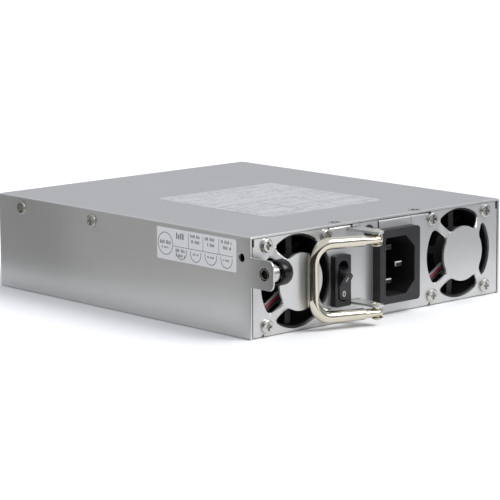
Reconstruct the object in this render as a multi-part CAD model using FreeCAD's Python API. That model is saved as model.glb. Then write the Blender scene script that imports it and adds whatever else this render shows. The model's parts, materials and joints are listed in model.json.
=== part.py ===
import FreeCAD
import Part
import math
import os

from FreeCAD import Rotation, Vector

# Hot-swap server power supply module, in millimetres, +Z up.
# Origin: centre of the underside. The front, with its fans and handle, faces -Y.

# Enclosure
width = 142.0
length = 162.0
height = 40.5
sheet = 1.0
bend_radius = 1.2
panel_setback = 0.2
panel_side_gap = 0.5
lid_gap = 0.15
side_gap = 0.15
flange_height = 8.0
flange_relief = 1.5
screw_tab_half = 6.0

# Cutters run past the faces that they open; edges nearer than touch to a face are on it
past = 1.0
touch = 0.01
parallel_cosine = 0.999

# Fans: their size comes from the height of the box
fan_height_gap = 0.25
fan_wall = 1.0
fan_hole_inset = 3.0
fan_depth = 28.0
fan_hole_radius = 1.5
fan_corner_radius = 2.5

# Free gaps across the front, from left to right: beside the left fan, between the
# inlet and the right fan, and beside the right fan. What room is left over is
# shared out by the weights.
least_gaps = (2.15, 1.65, 1.4)
gap_weights = (2.45, 8.15, 3.6)
motor_radius = 10.6
motor_base_inset = 3.2
motor_base_thick = 2.4
strut_width = 3.0
strut_root = 0.4
strut_angles = (91.0, -17.0, -94.0, 170.0)
bearing_radius = 2.5
bearing_length = 9.0
bearing_wall = 1.4
fan_shaft_radius = 1.0
fan_shaft_length = 14.5
fan_shaft_start = 0.3
running_gap = 0.04
stator_radius = 7.8
stator_height = 7.0
stator_gap = 0.8
stator_slot_half = 0.8
stator_slot_share = 0.72
rotor_cup_gap = 0.6
rotor_cup_depth = 13.0
rotor_cup_wall = 2.4
rotor_cup_back = 2.0
rotor_boss_gap = 0.4
blade_count = 7
blade_chord = 15.0
blade_thick = 0.9
blade_tip_gap = 0.7
blade_setback = 0.5
blade_bury = 0.3
blade_root_tilt = 52.0
blade_tip_tilt = 34.0

# Fan guards stamped in the front panel
guard_inset = 0.1
guard_hub_share = 0.61
guard_hub_rise = 2.7
guard_spoke_width = 3.3
guard_slot_fillet = 2.2
guard_flat_margin = 0.35
guard_seat = 0.1
flange_fan_gap = 0.2

# Screws
screw_hole_gap = 0.2
driver_blade_half = 0.55
driver_tip_radius = 0.4
driver_mouth_radius = 1.1
driver_reach_share = 0.57
driver_depth_share = 0.7
head_round_share = 0.6
machine_screw_radius = 1.45
pan_head_radius = 2.85
pan_head_height = 1.25
fan_screw_length = 9.0
side_screw_length = 3.2
side_screw_below_top = 4.75
side_screw_ys = (16.5, 64.4)
csk_head_radius = 2.75
csk_screw_radius = 1.5
csk_screw_length = 4.5
csk_from_front = 3.6
thread_gap = 0.02

# Top flanges of the front panel, from the left fan's right edge
flange_a = (-0.7, 10.9)
flange_b_start = 26.4
brow_seam = 45.2
front_flange_depth = 8.0
flange_bend_drop = 6.0
relief_width = 1.0
relief_depth = 1.3
brow_slot_width = 0.9
seam_width = 0.3
left_relief_inset = 6.3
corner_notch_widths = (0.8, 1.0)
corner_notch_depth = 3.1

# The same flanges, from the right fan's left edge
flange_b_past_fan = 1.6
lid_screw_before_fan = 3.5
right_relief_past_fan = 1.3

# Side hole near the front left corner
side_hole_radius = 1.65
side_hole_from_front = 5.0
side_hole_below_top = 8.6

# Ear that carries the captive screw
ear_reach = 13.0
ear_above_screw = 5.6
ear_below_screw = 6.2
ear_radius = 2.7
captive_reach = 8.0
captive_below_top = 13.6
ferrule_radius = 2.75
barrel_radius = 3.75
barrel_length = 4.2
barrel_bore_radius = 3.1
ferrule_floor = 1.5
captive_screw_radius = 1.75
captive_screw_recess = 0.7
captive_screw_chamfer = 0.45
captive_gap = 0.06
knob_radius = 5.2
knob_length = 7.0
knob_round = 2.2
knob_end_wall = 1.0
knob_bore_gap = 0.35
knob_cavity_depth = 4.9
knob_standoff = 0.2
spring_wire_radius = 0.3
spring_turns = 6
spring_radius = 2.5
washer_thick = 0.5
washer_rim_gap = 0.2

# Folding handle, along the front from the left fan's right edge
handle_rod_radius = 2.15
handle_end_margin = 5.45
handle_below_middle = 0.35
handle_bend_radius = 8.0
handle_pivot_from_fan = 12.5
handle_pivot_reach = 13.0
handle_grip_from_fan = -14.1
handle_grip_reach = 5.2
rod_end_thick = 3.6
rod_flat_margin = 1.5
rivet_radius = 1.25
rivet_gap = 0.05
rivet_head_radius = 2.1
rivet_head_height = 0.9
rivet_tail_radius = 2.5
rivet_tail_height = 1.2
rivet_collar_radius = 1.9
rivet_collar_thick = 0.5
lug_width = 7.5
lug_tip_radius = 2.7
lug_gap = 0.12
lug_foot_height = 6.5
lug_slot_gap = 0.15

# Rocker switch, from the left fan's right edge
switch_from_fan = 3.95
switch_below_middle = 2.7
bezel_width = 8.6
bezel_height = 20.8
bezel_thick = 2.8
bezel_fillet = 0.8
switch_body_width = 7.0
switch_body_height = 19.4
switch_body_depth = 14.0
switch_cutout_gap = 0.15
recess_width = 5.4
recess_height = 16.6
recess_depth = 6.5
rocker_width = 5.0
rocker_pivot_depth = 2.75
rocker_valley = 6.3
rocker_face = 6.1
rocker_half_angle = 17.0
rocker_back = 1.0
rocker_back_half = 6.9
rocker_foot = 1.6
rocker_foot_half = 3.0
rocker_tip_fillet = 0.8
trunnion_radius = 0.9
trunnion_length = 0.5
trunnion_end_gap = 0.1
terminal_width = 4.8
terminal_thick = 0.8
terminal_length = 7.5
switch_terminal_rise = 5.0

# Mains inlet, from the left fan's right edge
inlet_from_fan = 34.8
inlet_above_middle = 0.05
inlet_flange_width = 22.9
inlet_flange_height = 30.5
inlet_flange_thick = 4.2
inlet_flange_fillet = 1.6
inlet_body_width = 19.6
inlet_body_height = 27.2
inlet_body_depth = 14.5
inlet_cutout_gap = 0.25
socket_width = 16.6
socket_height = 24.0
socket_chamfer = 5.0
socket_fillet = 1.0
socket_depth = 16.5
pin_wide = 4.0
pin_thick = 2.0
pin_pitch = 14.0
pin_stagger = 4.0
line_pin_recess = 4.8
earth_pin_recess = 2.8
pin_chamfer = 0.4
inlet_tab_length = 7.5

# Status light, from the left fan's right edge
light_from_fan = 20.8
light_below_top = 5.1
light_holder_radius = 2.5
light_holder_rim = 2.7
light_holder_rim_thick = 0.3
light_holder_length = 6.0
light_lens_radius = 1.5
light_lens_recess = 0.6
light_flange_rim = 0.5
light_flange_thick = 0.8

# Circuit board and its supports
insulator_thick = 0.3
standoff_radius = 3.0
standoff_height = 4.0
standoff_bore = 1.35
standoff_clearance = 1.0
board_thick = 1.6
board_side_gap = 2.9
board_front_gap = 3.0
board_back_gap = 1.0
board_screw_radius = 1.3
board_screw_head = 2.7
board_screw_head_height = 1.6
board_screw_grip = 2.5
insulator_side_inset = 0.5
standoff_inset_x = 6.2
standoff_inset_y = 12.0
standoff_row_count = 3

# Parts on the board, laid out for a board this wide and stretched across to fit:
# places are (x from the centre, y from the board's front edge)
layout_width = 136.2
tall_gap = 1.5
fuse_at = (-36.5, 10.0)
fuse_radius = 2.9
fuse_length = 20.0
fuse_rise = 1.0
fuse_clip_thick = 0.6
fuse_clip_half = 2.5
fuse_clip_inset = 3.0
fuse_clip_share = 0.6
bridge_at = (-50.0, 20.0)
bridge_size = (5.0, 26.0, 18.0)
bridge_rise = 2.0
bridge_leg_half = 0.4
bridge_leg_reach = 0.6
bridge_leg_offsets = (-9.0, -3.0, 3.0, 9.0)
bridge_sink_thick = 2.0
bridge_sink_height = 24.0
film_cap_fillet = 1.0
film_cap_a_at = (-30.0, 20.0)
film_cap_a_size = (24.0, 11.0, 19.0)
film_cap_b_at = (28.0, 23.0)
film_cap_b_size = (11.0, 24.0, 19.0)
filter_choke_at = (0.0, 20.0)
filter_choke_outer = 11.0
filter_choke_inner = 6.0
filter_choke_height = 12.0
choke_winding_thick = 1.9
choke_base_thick = 1.5
filter_winding_angles = ((-65, 130), (115, 130))
output_winding_angles = ((20, 320),)
disc_cap_at = (42.0, 7.0)
disc_cap_radius = 4.0
disc_cap_thick = 3.0
disc_cap_pitch = 11.0
disc_cap_count = 3
disc_rise = 1.5
disc_leg_radius = 0.35
disc_leg_offset = 2.5
boost_choke_at = (-46.5, 57.0)
boost_choke_size = (28.0, 28.0, 26.0)
boost_core_wall = 4.5
boost_coil_fillet = 3.0
coil_gap = 0.3
coil_overhang = 1.0
bulk_cap_at = (-14.5, 51.0)
bulk_cap_radius = 12.5
bulk_cap_pitch = 26.5
bulk_cap_count = 2
bulk_cap_fillet = 1.0
main_sink_at = (31.0, 58.0)
main_sink_length = 42.0
main_sink_thick = 3.0
main_sink_fin_depth = 4.0
main_sink_fin_rise = 2.0
main_sink_fin_count = 5
fin_thick = 1.2
switch_chip_size = (5.0, 15.6, 20.0)
switch_chip_count = 2
switch_chip_pitch = 20.0
switch_chip_rise = 4.0
chip_hole_below_top = 5.0
chip_leg_offsets = (-5.4, 0.0, 5.4)
chip_leg_setback = 1.5
chip_leg_thick = 0.6
chip_leg_width = 1.2
chip_screw_head_height = 1.8
chip_screw_grip = 1.8
standby_at = (51.5, 62.0)
standby_size = (18.0, 16.0, 16.0)
standby_core_thick = 5.0
standby_coil_fillet = 1.5
transformer_at = (-8.0, 84.0)
transformer_core_size = (36.0, 12.0, 26.0)
transformer_coil_size = (22.0, 25.0)
transformer_leg = 6.0
transformer_rise = 1.0
transformer_coil_fillet = 3.0
bobbin_lip = 1.0
bobbin_foot_rise = 2.0
rear_sink_at = (-14.0, 106.5)
rear_sink_length = 50.0
rear_sink_thick = 3.0
rear_sink_foot = 4.0
rear_sink_foot_thick = 1.5
diode_size = (10.2, 4.5, 15.0)
diode_count = 4
diode_pitch = 12.0
diode_rise = 3.5
diode_leg_offsets = (-2.5, 0.0, 2.5)
diode_leg_half = 0.5
diode_leg_back = 2.5
diode_leg_front = 2.0
output_choke_at = (35.0, 92.0)
output_choke_pitch = 21.5
output_choke_count = 2
output_choke_outer = 8.0
output_choke_inner = 4.2
output_choke_height = 9.0
output_cap_at = (-60.0, 80.0)
output_cap_radius = 5.0
output_cap_height = 20.0
output_cap_pitch = 11.2
output_cap_column_count = 2
output_cap_row_count = 3
output_cap_fillet = 0.6
control_at = (-38.0, 119.0)
control_size = (46.0, 1.2, 23.0)
control_chip = (7.0, 1.4, 7.0)
control_chip_count = 4
control_chip_pitch = 10.5

# Output connector on the rear edge of the board
connector_from_right = 19.0
connector_width = 60.0
connector_height = 13.0
connector_depth = 15.0
connector_reach = 6.0
connector_fillet = 0.5
blade_slot_count = 6
blade_slot_pitch = 6.0
blade_slot_width = 2.6
blade_slot_height = 9.5
blade_slot_depth = 10.0
power_blade_thick = 1.0
power_blade_height = 7.0
power_blade_reach = 8.0
power_blade_tail = 3.0
signal_window = 18.0
signal_pin_side = 0.6
signal_pin_pitch = 2.0
signal_pin_column_count = 8
signal_pin_row_count = 4
signal_pin_setback = 1.0
signal_tail_start = 1.0
signal_tail_share = 0.4
connector_hole_gap = 0.4
connector_wall = 1.5

# Rear wall vents
vent_radius = 2.0
vent_pitch = 5.4
vent_row_count = 5
vent_left_column_count = 8
vent_right_column_count = 2
vent_inset = 8.5
vent_left_share = 0.76

# Wires
fan_wire_radius = 0.55
fan_wire_spacing = 1.4
fan_wire_bend = 1.5
fan_wire_depth = 1.6
fan_wire_height = 11.0
fan_wire_outset = 0.9
fan_wire_slack = 0.35
fan_wire_start_share = 0.75
fan_wire_drop_share = 0.5
fan_wire_exit_share = 0.4
mains_wire_radius = 1.1
mains_wire_bend = 3.0
mains_wire_landing = 3.0
live_wire_turn = 6.0
earth_stud_offset = (5.0, 5.0)
earth_ring_radius = 3.4
earth_ring_thick = 1.0
earth_tongue = (1.6, 1.4)
earth_stud_radius = 1.5
earth_stud_length = 5.0
earth_nut_radius = 2.75
earth_nut_height = 2.2
header_size = (4.4, 6.0, 7.5)
header_inset = 0.4

# Labels
label_thick = 0.12
side_label_y = (7.9, 55.8)
side_label_below_top = (14.9, 1.9)
top_label_x = (37.5, 103.7)
top_label_y = (31.6, 101.0)

# Worked-out places
left = -width / 2
right = width / 2
front = -length / 2
back = length / 2
panel_face = front + panel_setback
panel_inner = panel_face + sheet
roof = height - sheet
wall_top = roof - lid_gap
fan_z = height / 2
fan_size = height - 2 * sheet - 2 * fan_height_gap
fan_half = fan_size / 2
fan_bore = fan_size - 2 * fan_wall
guard_radius = fan_half - guard_inset
guard_hub_radius = guard_hub_share * guard_radius
middle_width = inlet_from_fan + inlet_body_width / 2
front_room = width - 2 * sheet - 2 * fan_size - middle_width
spare_share = (front_room - sum(least_gaps)) / sum(gap_weights)
left_gap = least_gaps[0] + gap_weights[0] * spare_share
right_gap = least_gaps[2] + gap_weights[2] * spare_share
fan_xs = (left + sheet + left_gap + fan_half, right - sheet - right_gap - fan_half)
left_fan_edge = fan_xs[0] + fan_half
right_fan_edge = fan_xs[1] - fan_half
fan_back = panel_inner + fan_depth
captive_height = height - captive_below_top
captive_y = front - captive_reach
handle_arm_spacing = height - 2 * handle_end_margin
handle_middle = fan_z - handle_below_middle
switch_height = fan_z - switch_below_middle
inlet_height = fan_z + inlet_above_middle
light_height = height - light_below_top
connector_x = right - connector_from_right - connector_width / 2
standoff_top = sheet + standoff_height
board_top = standoff_top + board_thick
board_front = fan_back + board_front_gap
board_back = back - sheet - board_back_gap
board_half = width / 2 - board_side_gap
across = 2 * board_half / layout_width
tall_height = roof - tall_gap - board_top


def box(x0, x1, y0, y1, z0, z1):
    return Part.makeBox(x1 - x0, y1 - y0, z1 - z0, Vector(x0, y0, z0))


def centred_box(at, size, z0):
    """A box standing at height z0, centred on at = (x, y)."""
    x, y = at
    dx, dy, dz = size
    return box(x - dx / 2, x + dx / 2, y - dy / 2, y + dy / 2, z0, z0 + dz)


def rod(start, direction, radius, depth):
    return Part.makeCylinder(radius, depth, Vector(*start), Vector(*direction))


def prism(points, axis, depth):
    """A closed polygon of 3-D points pushed along axis by depth."""
    corners = [Vector(*p) for p in points]
    face = Part.Face(Part.makePolygon(corners + corners[:1]))
    push = Vector(*axis)
    return face.extrude(push.normalize() * depth)


def fuse(shapes):
    whole = shapes[0].multiFuse(shapes[1:]) if len(shapes) > 1 else shapes[0]
    return whole.removeSplitter()


def cut(shape, tools):
    return shape.cut(Part.makeCompound(tools)) if tools else shape


def edges_where(shape, test):
    """Straight edges whose direction and midpoint pass the test."""
    chosen = []
    for edge in shape.Edges:
        if isinstance(edge.Curve, Part.Line):
            a = edge.Vertexes[0].Point
            b = edge.Vertexes[-1].Point
            if test((b - a).normalize(), (a + b) * 0.5):
                chosen.append(edge)
    return chosen


def along(direction, axis):
    return abs(direction.dot(Vector(*axis))) > parallel_cosine


def rounded(shape, axis, radius):
    """Fillet every straight edge that runs along axis."""
    return shape.makeFillet(radius, edges_where(shape, lambda d, m: along(d, axis)))


def spin(shape, centre, axis, degrees):
    turned = shape.copy()
    turned.rotate(Vector(*centre), Vector(*axis), degrees)
    return turned


def facing(shape, point, direction):
    """Move a shape built on the origin along +Z so that it faces direction at point."""
    moved = shape.copy()
    turn = Rotation(Vector(0, 0, 1), Vector(*direction))
    moved.Placement = FreeCAD.Placement(Vector(*point), turn)
    return moved


def from_left(distance):
    return left + distance


def from_fan(distance):
    return left_fan_edge + distance


def on_board(at):
    return (at[0] * across, board_front + at[1])


def board_size(size):
    return (size[0] * across, size[1], size[2])


def save(name, *shapes):
    shape = shapes[0] if len(shapes) == 1 else Part.makeCompound(list(shapes))
    shape.exportStep("parts/" + name + ".step")
    solids = len(shape.Solids)
    print("%-22s solids %3d  volume %9.1f  valid %s" % (name, solids, shape.Volume, shape.isValid()))


def cross_recess(top, reach, depth):
    """The cutter for a cross-shaped driver recess in a head whose top is at z = top."""
    bars = []
    for dx, dy in ((reach, driver_blade_half), (driver_blade_half, reach)):
        bars.append(box(-dx, dx, -dy, dy, top - depth, top + past))
    deep = depth + driver_tip_radius
    cone = Part.makeCone(driver_tip_radius, driver_mouth_radius, deep, Vector(0, 0, top - deep))
    return bars + [cone]


def pan_screw(shaft_radius, shaft_length, head_radius, head_height):
    """A cross-recess pan-head screw along +Z, its head's underside at z = 0."""
    head = Part.makeCylinder(head_radius, head_height)
    top_edges = [e for e in head.Edges if abs(e.BoundBox.ZMin - head_height) < touch]
    head = head.makeFillet(head_height * head_round_share, top_edges)
    shaft = Part.makeCylinder(shaft_radius, shaft_length, Vector(0, 0, -shaft_length))
    recess = cross_recess(head_height, head_radius * driver_reach_share, head_height * driver_depth_share)
    return cut(fuse([head, shaft]), recess)


def flat_screw(shaft_radius, shaft_length, head_radius, head_height):
    """A countersunk cross-recess screw along +Z, its top at z = 0."""
    cone = Part.makeCone(shaft_radius, head_radius, head_height, Vector(0, 0, -head_height))
    shaft = Part.makeCylinder(shaft_radius, shaft_length, Vector(0, 0, -shaft_length))
    recess = cross_recess(0.0, head_radius * driver_reach_share, head_height * driver_depth_share)
    return cut(fuse([cone, shaft]), recess)


def wire(points, radius, bend):
    """A round wire through the points, with a tangent arc at each inner point."""
    spots = [Vector(*p) for p in points]
    edges = []
    start = spots[0]
    for before, corner, after in zip(spots, spots[1:], spots[2:]):
        inward = (corner - before).normalize()
        outward = (after - corner).normalize()
        half_turn = inward.getAngle(outward) / 2
        setback = bend * math.tan(half_turn)
        entry = corner - inward * setback
        leave = corner + outward * setback
        middle = (outward - inward).normalize()
        apex = corner + middle * (bend / math.cos(half_turn) - bend)
        edges.append(Part.LineSegment(start, entry).toShape())
        edges.append(Part.Arc(entry, apex, leave).toShape())
        start = leave
    edges.append(Part.LineSegment(start, spots[-1]).toShape())
    path = Part.Wire(edges)
    heading = (spots[1] - spots[0]).normalize()
    ring = Part.Wire(Part.makeCircle(radius, spots[0], heading))
    return path.makePipeShell([ring], True, False)


# ---------------------------------------------------------------- enclosure

def side_screw_points():
    z = height - side_screw_below_top
    rows = [back - y for y in side_screw_ys]
    return [(side, x, y, z) for side, x in ((-1, left), (1, right)) for y in rows]


def lid_screw_points():
    xs = (from_fan(sum(flange_a) / 2), right_fan_edge - lid_screw_before_fan)
    return [(x, front + csk_from_front) for x in xs]


def flange_spans():
    """(x0, x1) of each stretch of the front wall that is bent back under the cover."""
    return [(from_fan(flange_a[0]), from_fan(flange_a[1])),
            (from_fan(flange_b_start), right_fan_edge + flange_b_past_fan)]


def lid_screw_cutters():
    """Countersunk holes through the cover and the flange under it."""
    tools = []
    deep = csk_head_radius - csk_screw_radius
    for x, y in lid_screw_points():
        tools.append(Part.makeCone(csk_screw_radius + thread_gap, csk_head_radius + thread_gap,
                                   deep, Vector(x, y, height - deep)))
        tools.append(rod((x, y, roof - 2 * sheet), (0, 0, 1), csk_screw_radius + thread_gap, 3 * sheet))
    return tools


def ear():
    plate = box(left, left + sheet, front - ear_reach, front + ear_radius,
                captive_height - ear_below_screw, captive_height + ear_above_screw)
    outer = edges_where(plate, lambda d, m: along(d, (1, 0, 0)) and m.y < front - ear_reach / 2)
    return plate.makeFillet(ear_radius, outer)


def top_cover():
    shell = box(left, right, front, back, 0, height)
    upper = edges_where(shell, lambda d, m: along(d, (0, 1, 0)) and m.z > height / 2)
    shell = shell.makeFillet(bend_radius, upper)
    hollow = box(left + sheet, right - sheet, front - past, back + past, -past, roof)
    upper = edges_where(hollow, lambda d, m: along(d, (0, 1, 0)) and m.z > height / 2)
    hollow = hollow.makeFillet(bend_radius - sheet, upper)
    cover = fuse([shell.cut(hollow), ear()])
    tools = []
    for side, x, y, z in side_screw_points():
        tools.append(rod((x + side * past, y, z), (-side, 0, 0), machine_screw_radius + screw_hole_gap,
                         sheet + 2 * past))
    tools += lid_screw_cutters()
    for y, z, radius in ((front + side_hole_from_front, height - side_hole_below_top, side_hole_radius),
                         (captive_y, captive_height, ferrule_radius)):
        tools.append(rod((left - past, y, z), (1, 0, 0), radius, sheet + 2 * past))
    return cut(cover, tools)


def pressed_flange(x0, x1):
    """A stretch of the front wall's top that bends back into a flange under the cover."""
    low = wall_top - flange_bend_drop
    rear = panel_face + front_flange_depth
    block = box(x0, x1, panel_face, rear, low, wall_top)
    corner = edges_where(block, lambda d, m: along(d, (1, 0, 0)) and m.y < panel_inner
                         and m.z > wall_top - sheet)
    block = block.makeFillet(bend_radius, corner)
    inner = box(x0 - past, x1 + past, panel_inner, rear + past, low - past, wall_top - sheet)
    corner = edges_where(inner, lambda d, m: along(d, (1, 0, 0)) and m.y < panel_inner + sheet
                         and m.z > wall_top - 2 * sheet)
    inner = inner.makeFillet(bend_radius - sheet, corner)
    half = fan_half + flange_fan_gap
    over_fans = [box(x - half, x + half, panel_inner, rear + past, fan_z, wall_top + past) for x in fan_xs]
    return cut(block.cut(inner), over_fans)


def guard_dish(x):
    """The dished disc of one fan guard, before its slots are cut."""
    hub = guard_hub_radius + guard_flat_margin
    rim = guard_radius - guard_flat_margin
    edge = guard_radius + guard_seat
    y0 = panel_face
    y1 = panel_face - guard_hub_rise
    outline = [(0, y1), (hub, y1), (rim, y0), (edge, y0), (edge, y0 + sheet),
               (rim, y0 + sheet), (hub, y1 + sheet), (0, y1 + sheet)]
    corners = [Vector(x + r, y, fan_z) for r, y in outline]
    face = Part.Face(Part.makePolygon(corners + corners[:1]))
    return face.revolve(Vector(x, 0, fan_z), Vector(0, 1, 0), 360)


def guard_slots(x):
    """The four round-cornered slots between a guard's ring, hub and spokes."""
    y0 = panel_face - guard_hub_rise - past
    depth = guard_hub_rise + sheet + 2 * past
    ring = rod((x, y0, fan_z), (0, 1, 0), guard_radius, depth)
    ring = ring.cut(rod((x, y0, fan_z), (0, 1, 0), guard_hub_radius, depth))
    reach = guard_radius + past
    half = guard_spoke_width / 2
    bar = box(x - reach, x + reach, y0, y0 + depth, fan_z - half, fan_z + half)
    bars = [spin(bar, (x, 0, fan_z), (0, 1, 0), angle) for angle in (45, 135)]
    slots = ring.cut(Part.makeCompound(bars))
    return [rounded(slot, (0, 1, 0), guard_slot_fillet) for slot in slots.Solids]


def front_cutouts():
    y0 = panel_face - past
    y1 = panel_inner + past
    tools = []
    for fan_x in fan_xs:
        tools += guard_slots(fan_x)
        for hole_x, hole_z in fan_hole_points(fan_x):
            tools.append(rod((hole_x, y0, hole_z), (0, 1, 0), machine_screw_radius + screw_hole_gap,
                             sheet + 2 * past))
    half_w = switch_body_width / 2 + switch_cutout_gap
    half_h = switch_body_height / 2 + switch_cutout_gap
    x = from_fan(switch_from_fan)
    tools.append(box(x - half_w, x + half_w, y0, y1, switch_height - half_h, switch_height + half_h))
    half_w = inlet_body_width / 2 + inlet_cutout_gap
    half_h = inlet_body_height / 2 + inlet_cutout_gap
    x = from_fan(inlet_from_fan)
    tools.append(box(x - half_w, x + half_w, y0, y1, inlet_height - half_h, inlet_height + half_h))
    tools.append(rod((from_fan(light_from_fan), y0, light_height), (0, 1, 0),
                     light_holder_radius + thread_gap, sheet + 2 * past))
    for lug_z in lug_levels():
        half_w = lug_width / 2 + lug_slot_gap
        x = from_fan(handle_pivot_from_fan)
        tools.append(box(x - half_w, x + half_w, y0, y1,
                         lug_z - lug_slot_gap, lug_z + sheet + lug_slot_gap))
    return tools + edge_reliefs(y0, y1)


def edge_reliefs(y0, y1):
    """Small notches beside the bends, and the slot and seam beside the strip over the inlet."""
    tools = []
    span_a, span_b = flange_spans()
    for x in (span_a[0] - relief_width, span_a[1], span_b[1]):
        tools.append(box(x, x + relief_width, y0, y1, wall_top - relief_depth, wall_top + past))
    strip_low = inlet_height + inlet_body_height / 2
    for x, gap in ((span_b[0], brow_slot_width), (from_fan(brow_seam), seam_width)):
        tools.append(box(x - gap / 2, x + gap / 2, y0, y1, strip_low, wall_top + past))
    for x in (from_left(left_relief_inset), right_fan_edge + right_relief_past_fan):
        tools.append(box(x, x + relief_width, y0, y1, -past, relief_depth))
    notch_low = wall_top - corner_notch_depth
    edge = width / 2 - sheet - panel_side_gap
    left_notch, right_notch = corner_notch_widths
    tools.append(box(edge - right_notch, edge + past, y0, y1, notch_low, wall_top + past))
    tools.append(box(-edge - past, -edge + left_notch, y0, y1, notch_low, wall_top + past))
    return tools


def fan_hole_points(fan_x):
    half = fan_half - fan_hole_inset
    return [(fan_x + sx * half, fan_z + sz * half) for sx in (-1, 1) for sz in (-1, 1)]


def board_supports():
    """Centres of the board's standoffs."""
    xs = (left + standoff_inset_x, right - standoff_inset_x)
    first = board_front + standoff_inset_y
    step = (board_back - standoff_inset_y - first) / (standoff_row_count - 1)
    return [(x, first + i * step) for x in xs for i in range(standoff_row_count)]


def rear_cutouts():
    y0 = back - sheet - past
    half = connector_width / 2 + connector_hole_gap
    top = board_top + connector_height + connector_hole_gap
    opening = box(connector_x - half, connector_x + half, y0, back + past,
                  standoff_top - connector_hole_gap, top)
    tools = [opening]
    top_row = fan_z + vent_pitch * (vent_row_count - 1) / 2
    first = left + vent_inset
    left_pitch = vent_left_share * (connector_x - half - first) / (vent_left_column_count - 1)
    xs = [first + i * left_pitch for i in range(vent_left_column_count)]
    xs += [right - vent_inset - i * vent_pitch for i in range(vent_right_column_count)]
    for row in range(vent_row_count):
        z = top_row - row * vent_pitch
        tools += [rod((x, y0, z), (0, 1, 0), vent_radius, sheet + 2 * past) for x in xs]
    return tools


def tray_sides():
    """Low flanges along the sides, with a tall tab at each side screw."""
    inner = sheet + side_gap
    y0 = panel_inner + flange_relief
    y1 = back - sheet - flange_relief
    pieces = []
    for side in (-1, 1):
        face = side * (width / 2 - inner)
        x0, x1 = sorted((face, face - side * sheet))
        pieces.append(box(x0, x1, y0, y1, 0, flange_height))
        for y in side_screw_ys:
            centre = back - y
            pieces.append(box(x0, x1, centre - screw_tab_half, centre + screw_tab_half, 0, wall_top))
    return pieces


def chassis_tray():
    """Base, front wall and rear wall, folded from one sheet."""
    half = width / 2 - sheet - panel_side_gap
    block = box(-half, half, panel_face, back, 0, wall_top)
    lower = edges_where(block, lambda d, m: along(d, (1, 0, 0)) and m.z < sheet)
    block = block.makeFillet(bend_radius, lower)
    inner = box(-half - past, half + past, panel_inner, back - sheet, sheet, wall_top + past)
    lower = edges_where(inner, lambda d, m: along(d, (1, 0, 0)) and m.z < 2 * sheet)
    inner = inner.makeFillet(bend_radius - sheet, lower)
    tray = block.cut(inner)
    base = box(-half - panel_side_gap + side_gap, half + panel_side_gap - side_gap,
               panel_inner + flange_relief, back - sheet - flange_relief, 0, sheet)
    for x0, x1 in flange_spans():
        tray = tray.cut(box(x0, x1, panel_face - past, panel_inner, wall_top - flange_bend_drop,
                            wall_top + past))
    tray = fuse([tray, base] + [pressed_flange(x0, x1) for x0, x1 in flange_spans()] + tray_sides())
    for fan_x in fan_xs:
        tray = tray.cut(rod((fan_x, panel_face - past, fan_z), (0, 1, 0), guard_radius + guard_seat,
                            sheet + 2 * past))
    tray = fuse([tray] + [guard_dish(fan_x) for fan_x in fan_xs])
    tools = front_cutouts() + rear_cutouts()
    for side, x, y, z in side_screw_points():
        start = (x - side * (sheet + side_gap / 2), y, z)
        tools.append(rod(start, (-side, 0, 0), machine_screw_radius + thread_gap, sheet + past))
    return cut(tray, tools + lid_screw_cutters())


def fan_screws():
    screw = pan_screw(machine_screw_radius, fan_screw_length, pan_head_radius, pan_head_height)
    spots = [spot for fan_x in fan_xs for spot in fan_hole_points(fan_x)]
    return [facing(screw, (x, panel_face, z), (0, -1, 0)) for x, z in spots]


def side_screws():
    screw = pan_screw(machine_screw_radius, side_screw_length, pan_head_radius, pan_head_height)
    return [facing(screw, (x, y, z), (side, 0, 0)) for side, x, y, z in side_screw_points()]


def lid_screws():
    head = csk_head_radius - csk_screw_radius
    screw = flat_screw(csk_screw_radius, csk_screw_length, csk_head_radius, head)
    return [facing(screw, (x, y, height), (0, 0, 1)) for x, y in lid_screw_points()]


# --------------------------------------------------------------------- fans

def wire_levels():
    return [fan_wire_height + i * fan_wire_spacing for i in (-1, 0, 1)]


def fan_frame(x):
    half = fan_half
    y0 = panel_inner
    frame = rounded(box(x - half, x + half, y0, fan_back, fan_z - half, fan_z + half),
                    (0, 1, 0), fan_corner_radius)
    frame = frame.cut(rod((x, y0 - past, fan_z), (0, 1, 0), fan_bore / 2, fan_depth + 2 * past))
    holes = [rod((hx, y0 - past, hz), (0, 1, 0), fan_hole_radius, fan_depth + 2 * past)
             for hx, hz in fan_hole_points(x)]
    slack = fan_wire_radius + fan_wire_slack
    low, high = wire_levels()[0], wire_levels()[-1]
    channel = box(x - half - past, x - half / 2, y0 + fan_wire_depth - slack,
                  y0 + fan_wire_depth + slack, low - slack, high + slack)
    frame = cut(frame, holes + [channel])
    base_y = y0 + motor_base_inset
    base = rod((x, base_y, fan_z), (0, 1, 0), motor_radius, motor_base_thick)
    strut = box(x, x + fan_bore / 2 + strut_root, base_y, base_y + motor_base_thick,
                fan_z - strut_width / 2, fan_z + strut_width / 2)
    struts = [spin(strut, (x, 0, fan_z), (0, -1, 0), angle) for angle in strut_angles]
    sleeve = rod((x, base_y, fan_z), (0, 1, 0), bearing_radius + bearing_wall,
                 motor_base_thick + bearing_length)
    frame = fuse([frame, base, sleeve] + struts)
    pocket = rod((x, base_y + motor_base_thick, fan_z), (0, 1, 0), bearing_radius, bearing_length + past)
    return frame.cut(pocket)


def fan_bearing(x):
    y0 = panel_inner + motor_base_inset + motor_base_thick
    sleeve = rod((x, y0, fan_z), (0, 1, 0), bearing_radius, bearing_length)
    return sleeve.cut(rod((x, y0 - past, fan_z), (0, 1, 0), fan_shaft_radius + running_gap,
                          bearing_length + 2 * past))


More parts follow.
